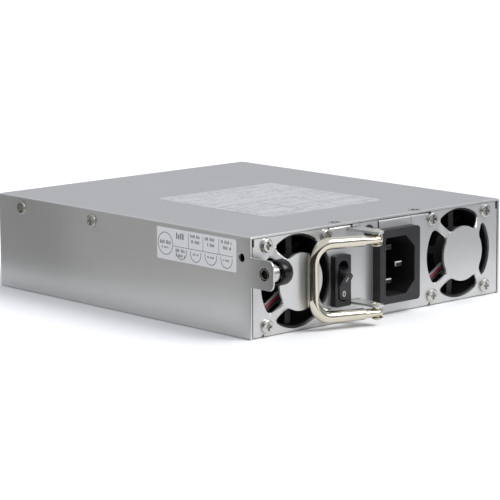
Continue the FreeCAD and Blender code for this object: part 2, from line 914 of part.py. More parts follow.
def fan_stator(x):
    """A four-pole stator core that grips the bearing sleeve."""
    y0 = panel_inner + motor_base_inset + motor_base_thick + stator_gap
    core = rod((x, y0, fan_z), (0, 1, 0), stator_radius, stator_height)
    core = core.cut(rod((x, y0 - past, fan_z), (0, 1, 0), bearing_radius + bearing_wall,
                        stator_height + 2 * past))
    slot = box(x + stator_radius * stator_slot_share, x + stator_radius + past, y0 - past,
               y0 + stator_height + past, fan_z - stator_slot_half, fan_z + stator_slot_half)
    return cut(core, [spin(slot, (x, 0, fan_z), (0, 1, 0), 45 + 90 * i) for i in range(4)])


def blade_section(radius, tilt, x, y):
    """A blade's rectangular section, square to a radius that points up from the fan's centre."""
    lean = math.radians(tilt)
    run = Vector(math.sin(lean), math.cos(lean), 0) * (blade_chord / 2)
    skin = Vector(math.cos(lean), -math.sin(lean), 0) * (blade_thick / 2)
    centre = Vector(x, y, fan_z + radius)
    corners = [centre + run + skin, centre + run - skin, centre - run - skin, centre - run + skin]
    return Part.makePolygon(corners + corners[:1])


def cup_front():
    return panel_inner + motor_base_inset + motor_base_thick + rotor_cup_gap


def fan_rotor(x):
    """Motor cup, open to the front, with its blades."""
    y0 = cup_front()
    cup = rod((x, y0, fan_z), (0, 1, 0), motor_radius, rotor_cup_depth)
    cup = cup.cut(rod((x, y0 - past, fan_z), (0, 1, 0), motor_radius - rotor_cup_wall,
                      rotor_cup_depth - rotor_cup_back + past))
    boss_start = y0 + bearing_length + rotor_boss_gap
    boss = rod((x, boss_start, fan_z), (0, 1, 0), bearing_radius, y0 + rotor_cup_depth - boss_start)
    cup = fuse([cup, boss])
    tip = fan_bore / 2 - blade_tip_gap
    middle = y0 + rotor_cup_depth / 2 + blade_setback
    sections = [blade_section(motor_radius - rotor_cup_wall, blade_root_tilt, x, middle),
                blade_section(tip + past, blade_tip_tilt, x, middle)]
    blade = Part.makeLoft(sections, True, True)
    swept = rod((x, y0, fan_z), (0, 1, 0), tip, rotor_cup_depth)
    swept = swept.cut(rod((x, y0 - past, fan_z), (0, 1, 0), motor_radius - blade_bury,
                          rotor_cup_depth + 2 * past))
    blade = blade.common(swept)
    step = 360.0 / blade_count
    blades = [spin(blade, (x, 0, fan_z), (0, 1, 0), i * step) for i in range(blade_count)]
    rotor = fuse([cup] + blades)
    shaft_hole = rod((x, y0 - past, fan_z), (0, 1, 0), fan_shaft_radius, fan_shaft_length)
    return rotor.cut(shaft_hole)


def fan_shaft(x):
    end = cup_front() - past + fan_shaft_length
    start = panel_inner + motor_base_inset + motor_base_thick + fan_shaft_start
    return rod((x, start, fan_z), (0, 1, 0), fan_shaft_radius, end - start)


def fan_wire(x, z):
    """One lead: from the motor base, out through the frame's channel and back to the board."""
    column = x - fan_half - fan_wire_outset
    y = panel_inner + fan_wire_depth
    start_z = fan_z - motor_radius * fan_wire_drop_share + z - fan_wire_height
    points = [(x - motor_radius * fan_wire_start_share, y, start_z),
              (x - fan_bore * fan_wire_exit_share, y, z),
              (column, y, z),
              (column, board_front + header_inset, z)]
    return wire(points, fan_wire_radius, fan_wire_bend)


def fan_wires(level):
    return [fan_wire(x, wire_levels()[level]) for x in fan_xs]


def fan_headers():
    dx, dy = header_size[:2]
    y = board_front + header_inset + dy / 2
    first = fan_half + fan_wire_outset - dx / 2
    return [centred_box((x - first, y), header_size, board_top) for x in fan_xs]


# ------------------------------------------------------------ captive screw

def ferrule():
    """Flush ring in the ear with a barrel behind it that holds the spring."""
    neck = captive_rod(left, ferrule_radius, sheet)
    barrel = captive_rod(left + sheet, barrel_radius, barrel_length)
    bore = captive_rod(left, captive_screw_radius + captive_gap, sheet + barrel_length)
    pocket = captive_rod(left + ferrule_floor, barrel_bore_radius, sheet + barrel_length)
    return cut(fuse([neck, barrel]), [bore, pocket])


def captive_rod(x, radius, depth):
    """A cylinder on the captive screw's axis, from x towards +X."""
    return rod((x, captive_y, captive_height), (1, 0, 0), radius, depth)


def knob_start():
    return left + sheet + barrel_length + knob_standoff


def end_edges(shape, x):
    """Edges that lie wholly in the plane at x."""
    return [e for e in shape.Edges if max(abs(e.BoundBox.XMin - x), abs(e.BoundBox.XMax - x)) < touch]


def captive_knob():
    x = knob_start()
    knob = captive_rod(x, knob_radius, knob_length)
    knob = knob.makeFillet(knob_round, end_edges(knob, x + knob_length))
    cavity = captive_rod(x, barrel_radius + knob_bore_gap, knob_cavity_depth)
    hole = captive_rod(x, captive_screw_radius, knob_length - knob_end_wall)
    return cut(knob, [cavity, hole])


def captive_screw():
    x = left + captive_screw_recess
    end = knob_start() + knob_length - knob_end_wall
    screw = captive_rod(x, captive_screw_radius, end - x)
    return screw.makeChamfer(captive_screw_chamfer, end_edges(screw, x))


def captive_washer():
    x = knob_start() + knob_cavity_depth - washer_thick
    disc = captive_rod(x, barrel_bore_radius - washer_rim_gap, washer_thick)
    return disc.cut(captive_rod(x - past, captive_screw_radius + captive_gap, washer_thick + 2 * past))


def captive_spring():
    """A compression spring between the ferrule's floor and the washer."""
    start = left + ferrule_floor + spring_wire_radius
    end = knob_start() + knob_cavity_depth - washer_thick - spring_wire_radius
    span = end - start
    helix = Part.makeHelix(span / spring_turns, span, spring_radius)
    ring = Part.Wire(Part.makeCircle(spring_wire_radius, Vector(spring_radius, 0, 0), Vector(0, 1, 0)))
    coil = Part.Wire(helix.Edges).makePipeShell([ring], True, True)
    return facing(coil, (start, captive_y, captive_height), (1, 0, 0))


# ------------------------------------------------------------------- handle

def handle_angle():
    """Angle of the folded arms from the panel, in degrees: the grip lies nearer than the pivot."""
    return math.degrees(math.atan2(handle_pivot_reach - handle_grip_reach,
                                   handle_pivot_from_fan - handle_grip_from_fan))


def pivot_xy():
    return from_fan(handle_pivot_from_fan), front - handle_pivot_reach


def arm_levels():
    """Heights of the handle's upper and lower arm."""
    half = handle_arm_spacing / 2
    return handle_middle + half, handle_middle - half


def lug_levels():
    """Lower faces of the two lugs, each above its arm with the rivet's collar between."""
    rise = rod_end_thick / 2 + lug_gap + rivet_collar_thick
    return [level + rise for level in arm_levels()]


def handle_rod():
    x, y = pivot_xy()
    arm = math.hypot(handle_pivot_reach - handle_grip_reach,
                     handle_pivot_from_fan - handle_grip_from_fan)
    tail = handle_rod_radius
    r = handle_bend_radius
    slack = r * (1 - math.sqrt(0.5))
    top, low = arm_levels()
    path = [Part.LineSegment(Vector(tail, 0, top), Vector(-arm + r, 0, top)),
            Part.Arc(Vector(-arm + r, 0, top), Vector(-arm + slack, 0, top - slack),
                     Vector(-arm, 0, top - r)),
            Part.LineSegment(Vector(-arm, 0, top - r), Vector(-arm, 0, low + r)),
            Part.Arc(Vector(-arm, 0, low + r), Vector(-arm + slack, 0, low + slack),
                     Vector(-arm + r, 0, low)),
            Part.LineSegment(Vector(-arm + r, 0, low), Vector(tail, 0, low))]
    spine = Part.Wire([piece.toShape() for piece in path])
    ring = Part.Wire(Part.makeCircle(handle_rod_radius, Vector(tail, 0, top), Vector(1, 0, 0)))
    bow = spine.makePipeShell([ring], True, False)
    wide = tail + past
    tools = []
    for level in (top, low):
        for side in (-1, 1):
            face = level + side * rod_end_thick / 2
            z0, z1 = sorted((face, face + side * handle_rod_radius))
            tools.append(box(-lug_width / 2 - rod_flat_margin, tail + past, -wide, wide, z0, z1))
        tools.append(rod((0, 0, level - wide), (0, 0, 1), rivet_radius + rivet_gap, 2 * wide))
        end = box(0, tail + past, -wide, wide, level - wide, level + wide)
        tools.append(end.cut(rod((0, 0, level - wide - past), (0, 0, 1), tail, 2 * (wide + past))))
    bow = cut(bow, tools)
    bow.rotate(Vector(0, 0, 0), Vector(0, 0, 1), -handle_angle())
    bow.translate(Vector(x, y, 0))
    return bow


def handle_lugs():
    """Two L-shaped lugs: a foot behind the front wall and a round-ended tongue through it."""
    x, y = pivot_xy()
    half = lug_width / 2
    lugs = []
    for level, rise in zip(lug_levels(), (-1, 1)):
        root = box(x - half, x + half, panel_face, panel_inner + sheet, level, level + sheet)
        taper = lug_taper(x, y, half, level)
        tip = rod((x, y, level), (0, 0, 1), lug_tip_radius, sheet)
        outer = level if rise > 0 else level + sheet
        z0, z1 = sorted((outer, outer + rise * lug_foot_height))
        foot = box(x - half, x + half, panel_inner, panel_inner + sheet, z0, z1)
        hole = rod((x, y, level - past), (0, 0, 1), rivet_radius, sheet + 2 * past)
        lugs.append(fuse([root, taper, tip, foot]).cut(hole))
    return lugs


def lug_taper(x, y, half, level):
    """The part of a lug's tongue that narrows from the front wall to its round tip."""
    corners = [Vector(x - lug_tip_radius, y, level), Vector(x + lug_tip_radius, y, level),
               Vector(x + half, panel_face, level), Vector(x - half, panel_face, level)]
    return Part.Face(Part.makePolygon(corners + corners[:1])).extrude(Vector(0, 0, sheet))


def domed_head(radius, rise):
    """A spherical cap on z = 0, of the given base radius and height."""
    ball = (radius ** 2 + rise ** 2) / (2 * rise)
    cap = Part.makeSphere(ball, Vector(0, 0, rise - ball))
    return cap.common(Part.makeCylinder(radius + past, rise + past))


def handle_rivets():
    """Each holds one arm under its lug, with a collar between them."""
    x, y = pivot_xy()
    rivets = []
    for arm, lug in zip(arm_levels(), lug_levels()):
        low = arm - rod_end_thick / 2 - lug_gap
        high = lug + sheet
        shank = rod((x, y, low), (0, 0, 1), rivet_radius, high - low)
        collar = rod((x, y, lug - rivet_collar_thick), (0, 0, 1), rivet_collar_radius, rivet_collar_thick)
        head = facing(domed_head(rivet_head_radius, rivet_head_height), (x, y, high), (0, 0, 1))
        tail = facing(domed_head(rivet_tail_radius, rivet_tail_height), (x, y, low), (0, 0, -1))
        rivets.append(fuse([shank, collar, head, tail]))
    return rivets


# ------------------------------------------------------------ rocker switch

def switch_body():
    x = from_fan(switch_from_fan)
    z = switch_height
    half_w = bezel_width / 2
    half_h = bezel_height / 2
    bezel = box(x - half_w, x + half_w, panel_face - bezel_thick, panel_face, z - half_h, z + half_h)
    bezel = rounded(bezel, (0, 1, 0), bezel_fillet)
    half_w = switch_body_width / 2
    half_h = switch_body_height / 2
    core = box(x - half_w, x + half_w, panel_face, panel_face + switch_body_depth, z - half_h, z + half_h)
    body = fuse([bezel, core])
    straight = recess_height / 2 - recess_width / 2
    half_w = recess_width / 2
    y0 = panel_face - bezel_thick - past
    y1 = panel_face + recess_depth
    tools = [box(x - half_w, x + half_w, y0, y1, z - straight, z + straight),
             box(x - half_w, x + half_w, panel_face, y1, z - recess_height / 2, z + recess_height / 2)]
    for side in (-1, 1):
        tools.append(rod((x, y0, z + side * straight), (0, 1, 0), half_w, bezel_thick + past))
    reach = rocker_width / 2 + trunnion_length + trunnion_end_gap
    tools.append(rod((x - reach, panel_face + rocker_pivot_depth, z), (1, 0, 0),
                     trunnion_radius + running_gap, 2 * reach))
    return cut(body, tools)


def rocker_outline(end):
    """A block with one rounded end that follows the recess, at the lower (-1) or upper (+1) end."""
    x = from_fan(switch_from_fan)
    half = rocker_width / 2
    straight = end * (recess_height / 2 - recess_width / 2)
    reach = recess_height
    y0 = panel_face - reach
    z0, z1 = sorted((switch_height + straight, switch_height - end * reach))
    block = box(x - half, x + half, y0, y0 + 2 * reach, z0, z1)
    return block.fuse(rod((x, y0, switch_height + straight), (0, 1, 0), half, 2 * reach))


def rocker():
    """A two-faced rocker, drawn symmetrically and then tilted with its lower half pressed in."""
    x = from_fan(switch_from_fan) - rocker_width / 2
    y = panel_face + rocker_pivot_depth
    lean = math.radians(rocker_half_angle)
    tip = (rocker_valley + rocker_face * math.sin(lean), rocker_face * math.cos(lean))
    outline = [(rocker_valley, 0), tip, (rocker_back, rocker_back_half), (-rocker_foot, rocker_foot_half),
               (-rocker_foot, -rocker_foot_half), (rocker_back, -rocker_back_half), (tip[0], -tip[1])]
    body = prism([(x, y - out, switch_height + up) for out, up in outline], (1, 0, 0), rocker_width)
    tips = edges_where(body, lambda d, m: along(d, (1, 0, 0)) and m.y < y - tip[0] + rocker_tip_fillet)
    body = body.makeFillet(rocker_tip_fillet, tips)
    centre = (x, y, switch_height)
    for end in (-1, 1):
        lean = -end * rocker_half_angle
        pressed = spin(body, centre, (1, 0, 0), lean).common(rocker_outline(end))
        body = spin(pressed, centre, (1, 0, 0), -lean)
    pin = rod((x - trunnion_length, y, switch_height), (1, 0, 0), trunnion_radius,
              rocker_width + 2 * trunnion_length)
    return spin(fuse([body, pin]), centre, (1, 0, 0), rocker_half_angle)


def switch_terminals():
    x = from_fan(switch_from_fan)
    y0 = panel_face + switch_body_depth
    half_w = terminal_width / 2
    half_t = terminal_thick / 2
    return [box(x - half_w, x + half_w, y0, y0 + terminal_length,
                switch_height + rise - half_t, switch_height + rise + half_t)
            for rise in (-switch_terminal_rise, switch_terminal_rise)]


# -------------------------------------------------------------- mains inlet

def socket_outline(y):
    """The socket's outline, with its two cut corners towards +X."""
    x = from_fan(inlet_from_fan)
    w = socket_width / 2
    h = socket_height / 2
    c = socket_chamfer
    points = [(-w, -h), (w - c, -h), (w, -h + c), (w, h - c), (w - c, h), (-w, h)]
    return [(x + dx, y, inlet_height + dz) for dx, dz in points]


def inlet_pin_points():
    """(x, z, recess of the tip behind the flange's face) of each pin."""
    x = from_fan(inlet_from_fan)
    line_x = x - pin_stagger / 2
    return [(line_x, inlet_height + pin_pitch / 2, line_pin_recess),
            (line_x, inlet_height - pin_pitch / 2, line_pin_recess),
            (x + pin_stagger / 2, inlet_height, earth_pin_recess)]


def inlet_body():
    x = from_fan(inlet_from_fan)
    face = panel_face - inlet_flange_thick
    half_w = inlet_flange_width / 2
    half_h = inlet_flange_height / 2
    flange = box(x - half_w, x + half_w, face, panel_face, inlet_height - half_h, inlet_height + half_h)
    flange = rounded(flange, (0, 1, 0), inlet_flange_fillet)
    half_w = inlet_body_width / 2
    half_h = inlet_body_height / 2
    core = box(x - half_w, x + half_w, panel_face, panel_face + inlet_body_depth,
               inlet_height - half_h, inlet_height + half_h)
    body = fuse([flange, core])
    socket = prism(socket_outline(face - past), (0, 1, 0), socket_depth + past)
    tools = [rounded(socket, (0, 1, 0), socket_fillet)]
    for px, pz, recess in inlet_pin_points():
        tools.append(centred_pin(px, pz, face + socket_depth - past, panel_face + inlet_body_depth + past))
    return cut(body, tools)


def centred_pin(x, z, y0, y1):
    return box(x - pin_wide / 2, x + pin_wide / 2, y0, y1, z - pin_thick / 2, z + pin_thick / 2)


def inlet_pins():
    """Three pins, each with a soldering tab behind the body."""
    face = panel_face - inlet_flange_thick
    rear = panel_face + inlet_body_depth
    pins = []
    for x, z, recess in inlet_pin_points():
        pin = centred_pin(x, z, face + recess, rear)
        nose = [e for e in pin.Edges if e.BoundBox.YMax < face + recess + touch]
        pin = pin.makeChamfer(pin_chamfer, nose)
        tab = box(x - terminal_width / 2, x + terminal_width / 2, rear, rear + inlet_tab_length,
                  z - terminal_thick / 2, z + terminal_thick / 2)
        pins.append(fuse([pin, tab]))
    return pins


# ------------------------------------------------------------- status light

def light_holder():
    x = from_fan(light_from_fan)
    start = (x, panel_face, light_height)
    stem = rod(start, (0, 1, 0), light_holder_radius, light_holder_length)
    rim = rod((x, panel_face - light_holder_rim_thick, light_height), (0, 1, 0), light_holder_rim,
              light_holder_rim_thick)
    bore = rod((x, panel_face - past, light_height), (0, 1, 0), light_lens_radius + thread_gap,
               light_holder_length + 2 * past)
    return fuse([stem, rim]).cut(bore)


def status_light():
    x = from_fan(light_from_fan)
    lens = rod((x, panel_face + light_lens_recess, light_height), (0, 1, 0), light_lens_radius,
               light_holder_length)
    base = rod((x, panel_face + light_holder_length, light_height), (0, 1, 0),
               light_lens_radius + light_flange_rim, light_flange_thick)
    return fuse([lens, base])


# --------------------------------------------------------- board and supports

def standoffs():
    posts = []
    for x, y in board_supports():
        post = rod((x, y, sheet), (0, 0, 1), standoff_radius, standoff_height)
        posts.append(post.cut(rod((x, y, sheet), (0, 0, 1), standoff_bore, standoff_height)))
    return posts


def insulating_sheet():
    half = board_half - insulator_side_inset
    film = box(-half, half, board_front, board_back - past, sheet, sheet + insulator_thick)
    return cut(film, [rod((x, y, sheet - past), (0, 0, 1), standoff_radius + standoff_clearance,
                          insulator_thick + 2 * past) for x, y in board_supports()])


def main_board():
    plate = box(-board_half, board_half, board_front, board_back, standoff_top, board_top)
    return cut(plate, [rod((x, y, standoff_top - past), (0, 0, 1), board_screw_radius + screw_hole_gap,
                           board_thick + 2 * past) for x, y in board_supports()])


def board_screws():
    screw = pan_screw(board_screw_radius, board_thick + board_screw_grip, board_screw_head,
                      board_screw_head_height)
    return [facing(screw, (x, y, board_top), (0, 0, 1)) for x, y in board_supports()]


# --------------------------------------------------------- parts on the board

def ring_core(at, outer, inner, tall, z):
    x, y = on_board(at)
    core = rod((x, y, z), (0, 0, 1), outer * across, tall)
    return core.cut(rod((x, y, z - past), (0, 0, 1), inner * across, tall + 2 * past))


def ring_winding(at, outer, inner, tall, z, spans):
    """Winding blocks round a ring core; spans are (start, sweep) pairs in degrees."""
    x, y = on_board(at)
    thick = choke_winding_thick
    blocks = []
    for start, sweep in spans:
        sector = Part.makeCylinder(outer * across + thick, tall + 2 * thick, Vector(x, y, z - thick),
                                   Vector(0, 0, 1), sweep)
        sector = sector.cut(rod((x, y, z - thick - past), (0, 0, 1), inner * across - thick,
                                tall + 2 * (thick + past)))
        sector = sector.cut(ring_core(at, outer, inner, tall, z))
        blocks.append(spin(sector, (x, y, 0), (0, 0, 1), start))
    return blocks


def choke_height():
    return board_top + choke_base_thick + choke_winding_thick


def filter_choke_core():
    return ring_core(filter_choke_at, filter_choke_outer, filter_choke_inner,
                     filter_choke_height, choke_height())


def filter_choke_windings():
    return ring_winding(filter_choke_at, filter_choke_outer, filter_choke_inner,
                        filter_choke_height, choke_height(), filter_winding_angles)


def choke_base(at, outer):
    side = 2 * (outer * across + choke_winding_thick)
    return centred_box(on_board(at), (side, side, choke_base_thick), board_top)


def output_choke_places():
    x, y = output_choke_at
    return [(x + i * output_choke_pitch, y) for i in range(output_choke_count)]


def output_choke_cores():
    return [ring_core(at, output_choke_outer, output_choke_inner, output_choke_height, choke_height())
            for at in output_choke_places()]


def output_choke_windings():
    windings = []
    for at in output_choke_places():
        windings += ring_winding(at, output_choke_outer, output_choke_inner,
                                 output_choke_height, choke_height(), output_winding_angles)
    return windings


def choke_bases():
    bases = [choke_base(filter_choke_at, filter_choke_outer)]
    return bases + [choke_base(at, output_choke_outer) for at in output_choke_places()]


def film_capacitors():
    places = ((film_cap_a_at, film_cap_a_size), (film_cap_b_at, film_cap_b_size))
    return [rounded(centred_box(on_board(at), board_size(size), board_top), (0, 0, 1), film_cap_fillet)
            for at, size in places]


def disc_capacitors():
    x, y = disc_cap_at
    discs = []
    for i in range(disc_cap_count):
        cx, cy = on_board((x, y + i * disc_cap_pitch))
        z = board_top + disc_rise + disc_cap_radius
        disc = rod((cx - disc_cap_thick / 2, cy, z), (1, 0, 0), disc_cap_radius, disc_cap_thick)
        legs = [rod((cx, cy + dy, board_top), (0, 0, 1), disc_leg_radius, disc_rise + disc_cap_radius)
                for dy in (-disc_leg_offset, disc_leg_offset)]
        discs.append(fuse([disc] + legs))
    return discs


def fuse_tube():
    x, y = on_board(fuse_at)
    z = board_top + fuse_rise + fuse_radius
    length_across = fuse_length * across
    return rod((x - length_across / 2, y, z), (1, 0, 0), fuse_radius, length_across)


def fuse_clips():
    """Spring clips that hold the fuse by its ends."""
    x, y = on_board(fuse_at)
    z = board_top + fuse_rise + fuse_radius
    clips = []
    for side in (-1, 1):
        centre = x + side * (fuse_length * across / 2 - fuse_clip_inset)
        x0 = centre - fuse_clip_half
        x1 = centre + fuse_clip_half
        grip = fuse_radius + fuse_clip_thick
        outer = box(x0, x1, y - grip, y + grip, board_top, z + fuse_radius * fuse_clip_share)
        hollow = rod((x0 - past, y, z), (1, 0, 0), fuse_radius, x1 - x0 + 2 * past)
        mouth = box(x0 - past, x1 + past, y - fuse_radius, y + fuse_radius, z, z + fuse_radius)
        clips.append(cut(outer, [hollow, mouth]))
    return clips


def bridge_rectifier():
    x, y = on_board(bridge_at)
    case = centred_box((x, y), bridge_size, board_top + bridge_rise)
    legs = [box(x - bridge_leg_half, x + bridge_leg_half, y + dy - bridge_leg_reach,
                y + dy + bridge_leg_reach, board_top, board_top + bridge_rise)
            for dy in bridge_leg_offsets]
    return fuse([case] + legs)


def bridge_heatsink():
    x, y = on_board(bridge_at)
    x1 = x - bridge_size[0] / 2
    return box(x1 - bridge_sink_thick, x1, y - bridge_size[1] / 2, y + bridge_size[1] / 2,
               board_top, board_top + bridge_sink_height)


def boost_choke_core():
    """A closed E-shaped core: two thick plates joined by end walls."""
    dx, dy, dz = board_size(boost_choke_size)
    at = on_board(boost_choke_at)
    block = centred_box(at, (dx, dy, dz), board_top)
    window = centred_box(at, (dx - 2 * boost_core_wall, dy + 2 * past, dz - 2 * boost_core_wall),
                         board_top + boost_core_wall)
    return block.cut(window)


def boost_choke_coil():
    dx, dy, dz = board_size(boost_choke_size)
    taken = 2 * (boost_core_wall + coil_gap)
    coil = centred_box(on_board(boost_choke_at), (dx - taken, dy + coil_overhang, dz - taken),
                       board_top + boost_core_wall + coil_gap)
    return rounded(coil, (0, 1, 0), boost_coil_fillet)


def capacitor_can(at, radius, tall, fillet):
    """A round can standing on the board, its top edge rounded."""
    can = rod((at[0], at[1], board_top), (0, 0, 1), radius, tall)
    return can.makeFillet(fillet, [e for e in can.Edges if e.BoundBox.ZMin > board_top + fillet])


def bulk_capacitors():
    x, y = bulk_cap_at
    cans = []
    for i in range(bulk_cap_count):
        place = on_board((x + i * bulk_cap_pitch, y))
        cans.append(capacitor_can(place, bulk_cap_radius * across, tall_height, bulk_cap_fillet))
    return cans


def main_heatsink():
    x, y = on_board(main_sink_at)
    half = main_sink_length / 2
    thick = main_sink_thick / 2
    top = board_top + tall_height
    plate = box(x - thick, x + thick, y - half, y + half, board_top, top)
    step = (main_sink_length - fin_thick) / (main_sink_fin_count - 1)
    starts = [y - half + i * step for i in range(main_sink_fin_count)]
    fins = [box(x - thick - main_sink_fin_depth, x - thick, start, start + fin_thick,
                board_top + main_sink_fin_rise, top) for start in starts]
    return fuse([plate] + fins)


def chip_rows():
    """Centres along Y of the power transistors on the main heatsink."""
    y = on_board(main_sink_at)[1]
    return [y + (i - (switch_chip_count - 1) / 2) * switch_chip_pitch for i in range(switch_chip_count)]


def power_transistors():
    dx, dy, dz = switch_chip_size
    x = chip_face()
    z = board_top + switch_chip_rise
    leg_x = x + chip_leg_setback
    half = chip_leg_width / 2
    chips = []
    for y in chip_rows():
        case = box(x, x + dx, y - dy / 2, y + dy / 2, z, z + dz)
        legs = [box(leg_x, leg_x + chip_leg_thick, y + s - half, y + s + half, board_top, z)
                for s in chip_leg_offsets]
        hole = rod((x - past, y, chip_screw_height()), (1, 0, 0), machine_screw_radius + screw_hole_gap,
                   dx + 2 * past)
        chips.append(fuse([case] + legs).cut(hole))
    return chips


def chip_face():
    """Where the power transistors sit against the main heatsink."""
    return on_board(main_sink_at)[0] + main_sink_thick / 2


def chip_screw_height():
    return board_top + switch_chip_rise + switch_chip_size[2] - chip_hole_below_top


def transistor_screws():
    screw = pan_screw(machine_screw_radius, switch_chip_size[0] + chip_screw_grip, pan_head_radius,
                      chip_screw_head_height)
    x = chip_face() + switch_chip_size[0]
    return [facing(screw, (x, y, chip_screw_height()), (1, 0, 0)) for y in chip_rows()]


def tapped_main_heatsink():
    x = chip_face() - main_sink_thick - past
    holes = [rod((x, y, chip_screw_height()), (1, 0, 0), machine_screw_radius + thread_gap,
                 main_sink_thick + 2 * past) for y in chip_rows()]
    return cut(main_heatsink(), holes)


def standby_core():
    dx, dy, dz = board_size(standby_size)
    at = on_board(standby_at)
    block = centred_box(at, (dx, dy, dz), board_top)
    window = centred_box(at, (dx - standby_core_thick, dy + 2 * past, dz - standby_core_thick),
                         board_top + standby_core_thick / 2)
    return block.cut(window)


def standby_coil():
    dx, dy, dz = board_size(standby_size)
    taken = standby_core_thick + 2 * coil_gap
    coil = centred_box(on_board(standby_at), (dx - taken, dy + coil_overhang, dz - taken),
                       board_top + standby_core_thick / 2 + coil_gap)
    return rounded(coil, (0, 1, 0), standby_coil_fillet)


def transformer_core():
    """Two E cores back to back: outer frame and a centre leg along Z."""
    dx, dy, dz = board_size(transformer_core_size)
    x, y = on_board(transformer_at)
    z = board_top + transformer_rise
    frame = centred_box((x, y), (dx, dy, dz), z)
    leg = transformer_leg
    windows = []
    for side in (-1, 1):
        inner = x + side * leg / 2
        outer = x + side * (dx / 2 - leg / 2)
        x0, x1 = sorted((inner, outer))
        windows.append(box(x0, x1, y - dy, y + dy, z + leg / 2, z + dz - leg / 2))
    return cut(frame, windows)


def transformer_bobbin():
    """Winding round the centre leg, wrapped in tape, on a pin base."""
    dx = transformer_coil_size[0] * across
    half_y = transformer_coil_size[1] / 2
    x, y = on_board(transformer_at)
    core_deep, core_tall = transformer_core_size[1:]
    z = board_top + transformer_rise + transformer_leg / 2 + coil_gap
    tall = core_tall - transformer_leg - 2 * coil_gap
    coil = rounded(centred_box((x, y), (dx, 2 * half_y, tall), z), (0, 0, 1), transformer_coil_fillet)
    core_leg = centred_box((x, y), (transformer_leg + 2 * coil_gap, core_deep + 2 * coil_gap,
                                    tall + 2 * past), z - past)
    feet = []
    for side in (-1, 1):
        y0, y1 = sorted((y + side * (half_y + bobbin_lip), y + side * (core_deep / 2 + coil_gap)))
        feet.append(box(x - dx / 2, x + dx / 2, y0, y1, board_top, z + bobbin_foot_rise))
    return fuse([coil.cut(core_leg)] + feet)


def rear_heatsink():
    x, y = on_board(rear_sink_at)
    half = rear_sink_length * across / 2
    face = y + rear_sink_thick / 2
    top = board_top + tall_height
    plate = box(x - half, x + half, face - rear_sink_thick, face, board_top, top)
    foot = box(x - half, x + half, face, face + rear_sink_foot, top - rear_sink_foot_thick, top)
    return fuse([plate, foot])


def rectifier_diodes():
    x, y = on_board(rear_sink_at)
    dx, dy, dz = board_size(diode_size)
    face = y - rear_sink_thick / 2
    pitch = diode_pitch * across
    z = board_top + diode_rise
    cases = []
    for i in range(diode_count):
        cx = x + (i - (diode_count - 1) / 2) * pitch
        case = box(cx - dx / 2, cx + dx / 2, face - dy, face, z, z + dz)
        legs = [box(cx + s - diode_leg_half, cx + s + diode_leg_half, face - diode_leg_back,
                    face - diode_leg_front, board_top, z) for s in diode_leg_offsets]
        cases.append(fuse([case] + legs))
    return cases


def output_capacitors():
    x, y = output_cap_at
    cans = []
    for i in range(output_cap_column_count):
        for j in range(output_cap_row_count):
            place = on_board((x + i * output_cap_pitch, y + j * output_cap_pitch))
            cans.append(capacitor_can(place, output_cap_radius, output_cap_height, output_cap_fillet))
    return cans


def control_board():
    return centred_box(on_board(control_at), board_size(control_size), board_top)


def control_chips():
    x, y = on_board(control_at)
    dx, dy, dz = board_size(control_chip)
    y -= (control_size[1] + dy) / 2
    z = board_top + (control_size[2] - dz) / 2
    pitch = control_chip_pitch * across
    return [centred_box((x + (i - (control_chip_count - 1) / 2) * pitch, y), (dx, dy, dz), z)
            for i in range(control_chip_count)]


# --------------------------------------------------------- output connector

def connector_frame():
    """(x0, x1, y0, y1, z0, z1) of the connector's housing."""
    half = connector_width / 2
    return (connector_x - half, connector_x + half, back + connector_reach - connector_depth,
            back + connector_reach, board_top, board_top + connector_height)


def slot_centres():
    x0 = connector_frame()[0]
    return [x0 + connector_wall + blade_slot_pitch * (i + 0.5) for i in range(blade_slot_count)]


def connector_housing():
    x0, x1, y0, y1, z0, z1 = connector_frame()
    block = rounded(box(x0, x1, y0, y1, z0, z1), (0, 1, 0), connector_fillet)
    middle = (z0 + z1) / 2
    floor = y1 - blade_slot_depth
    half_w = blade_slot_width / 2
    half_h = blade_slot_height / 2
    wx1 = x1 - connector_wall
    tools = [box(wx1 - signal_window, wx1, floor, y1 + past, z0 + connector_wall, z1 - connector_wall)]
    for x in slot_centres():
        tools.append(box(x - half_w, x + half_w, floor, y1 + past, middle - half_h, middle + half_h))
        tools.append(blade_box(x, y0 - past))
    tools += [pin_box(x, z, y0 - past) for x, z in signal_pin_points()]
    return cut(block, tools)


def blade_box(x, y0):
    y1 = connector_frame()[3] - blade_slot_depth + power_blade_reach
    middle = board_top + connector_height / 2
    half_t = power_blade_thick / 2
    half_h = power_blade_height / 2
    return box(x - half_t, x + half_t, y0, y1, middle - half_h, middle + half_h)


def power_blades():
    """Flat output blades, each with a tail down to the board behind the housing."""
    y0 = connector_frame()[2]
    start = y0 - power_blade_tail
    half_t = power_blade_thick / 2
    blades = []
    for x in slot_centres():
        foot = box(x - half_t, x + half_t, start, y0, board_top, board_top + connector_height / 2)
        blades.append(fuse([blade_box(x, start), foot]))
    return blades


def signal_pin_points():
    wx1 = connector_frame()[1] - connector_wall
    first_x = wx1 - signal_window / 2 - (signal_pin_column_count - 1) / 2 * signal_pin_pitch
    first_z = board_top + connector_height / 2 - (signal_pin_row_count - 1) / 2 * signal_pin_pitch
    return [(first_x + i * signal_pin_pitch, first_z + j * signal_pin_pitch)
            for i in range(signal_pin_column_count) for j in range(signal_pin_row_count)]


def pin_box(x, z, y0):
    y1 = connector_frame()[3] - blade_slot_depth + power_blade_reach - signal_pin_setback
    half = signal_pin_side / 2
    return box(x - half, x + half, y0, y1, z - half, z + half)


def signal_pins():
    y0 = connector_frame()[2]
    half = signal_pin_side / 2
    pins = []
    for x, z in signal_pin_points():
        y = y0 - signal_tail_start - (z - board_top) * signal_tail_share
        leg = box(x - half, x + half, y - half, y + half, board_top, z + half)
        pins.append(fuse([pin_box(x, z, y), leg]))
    return pins


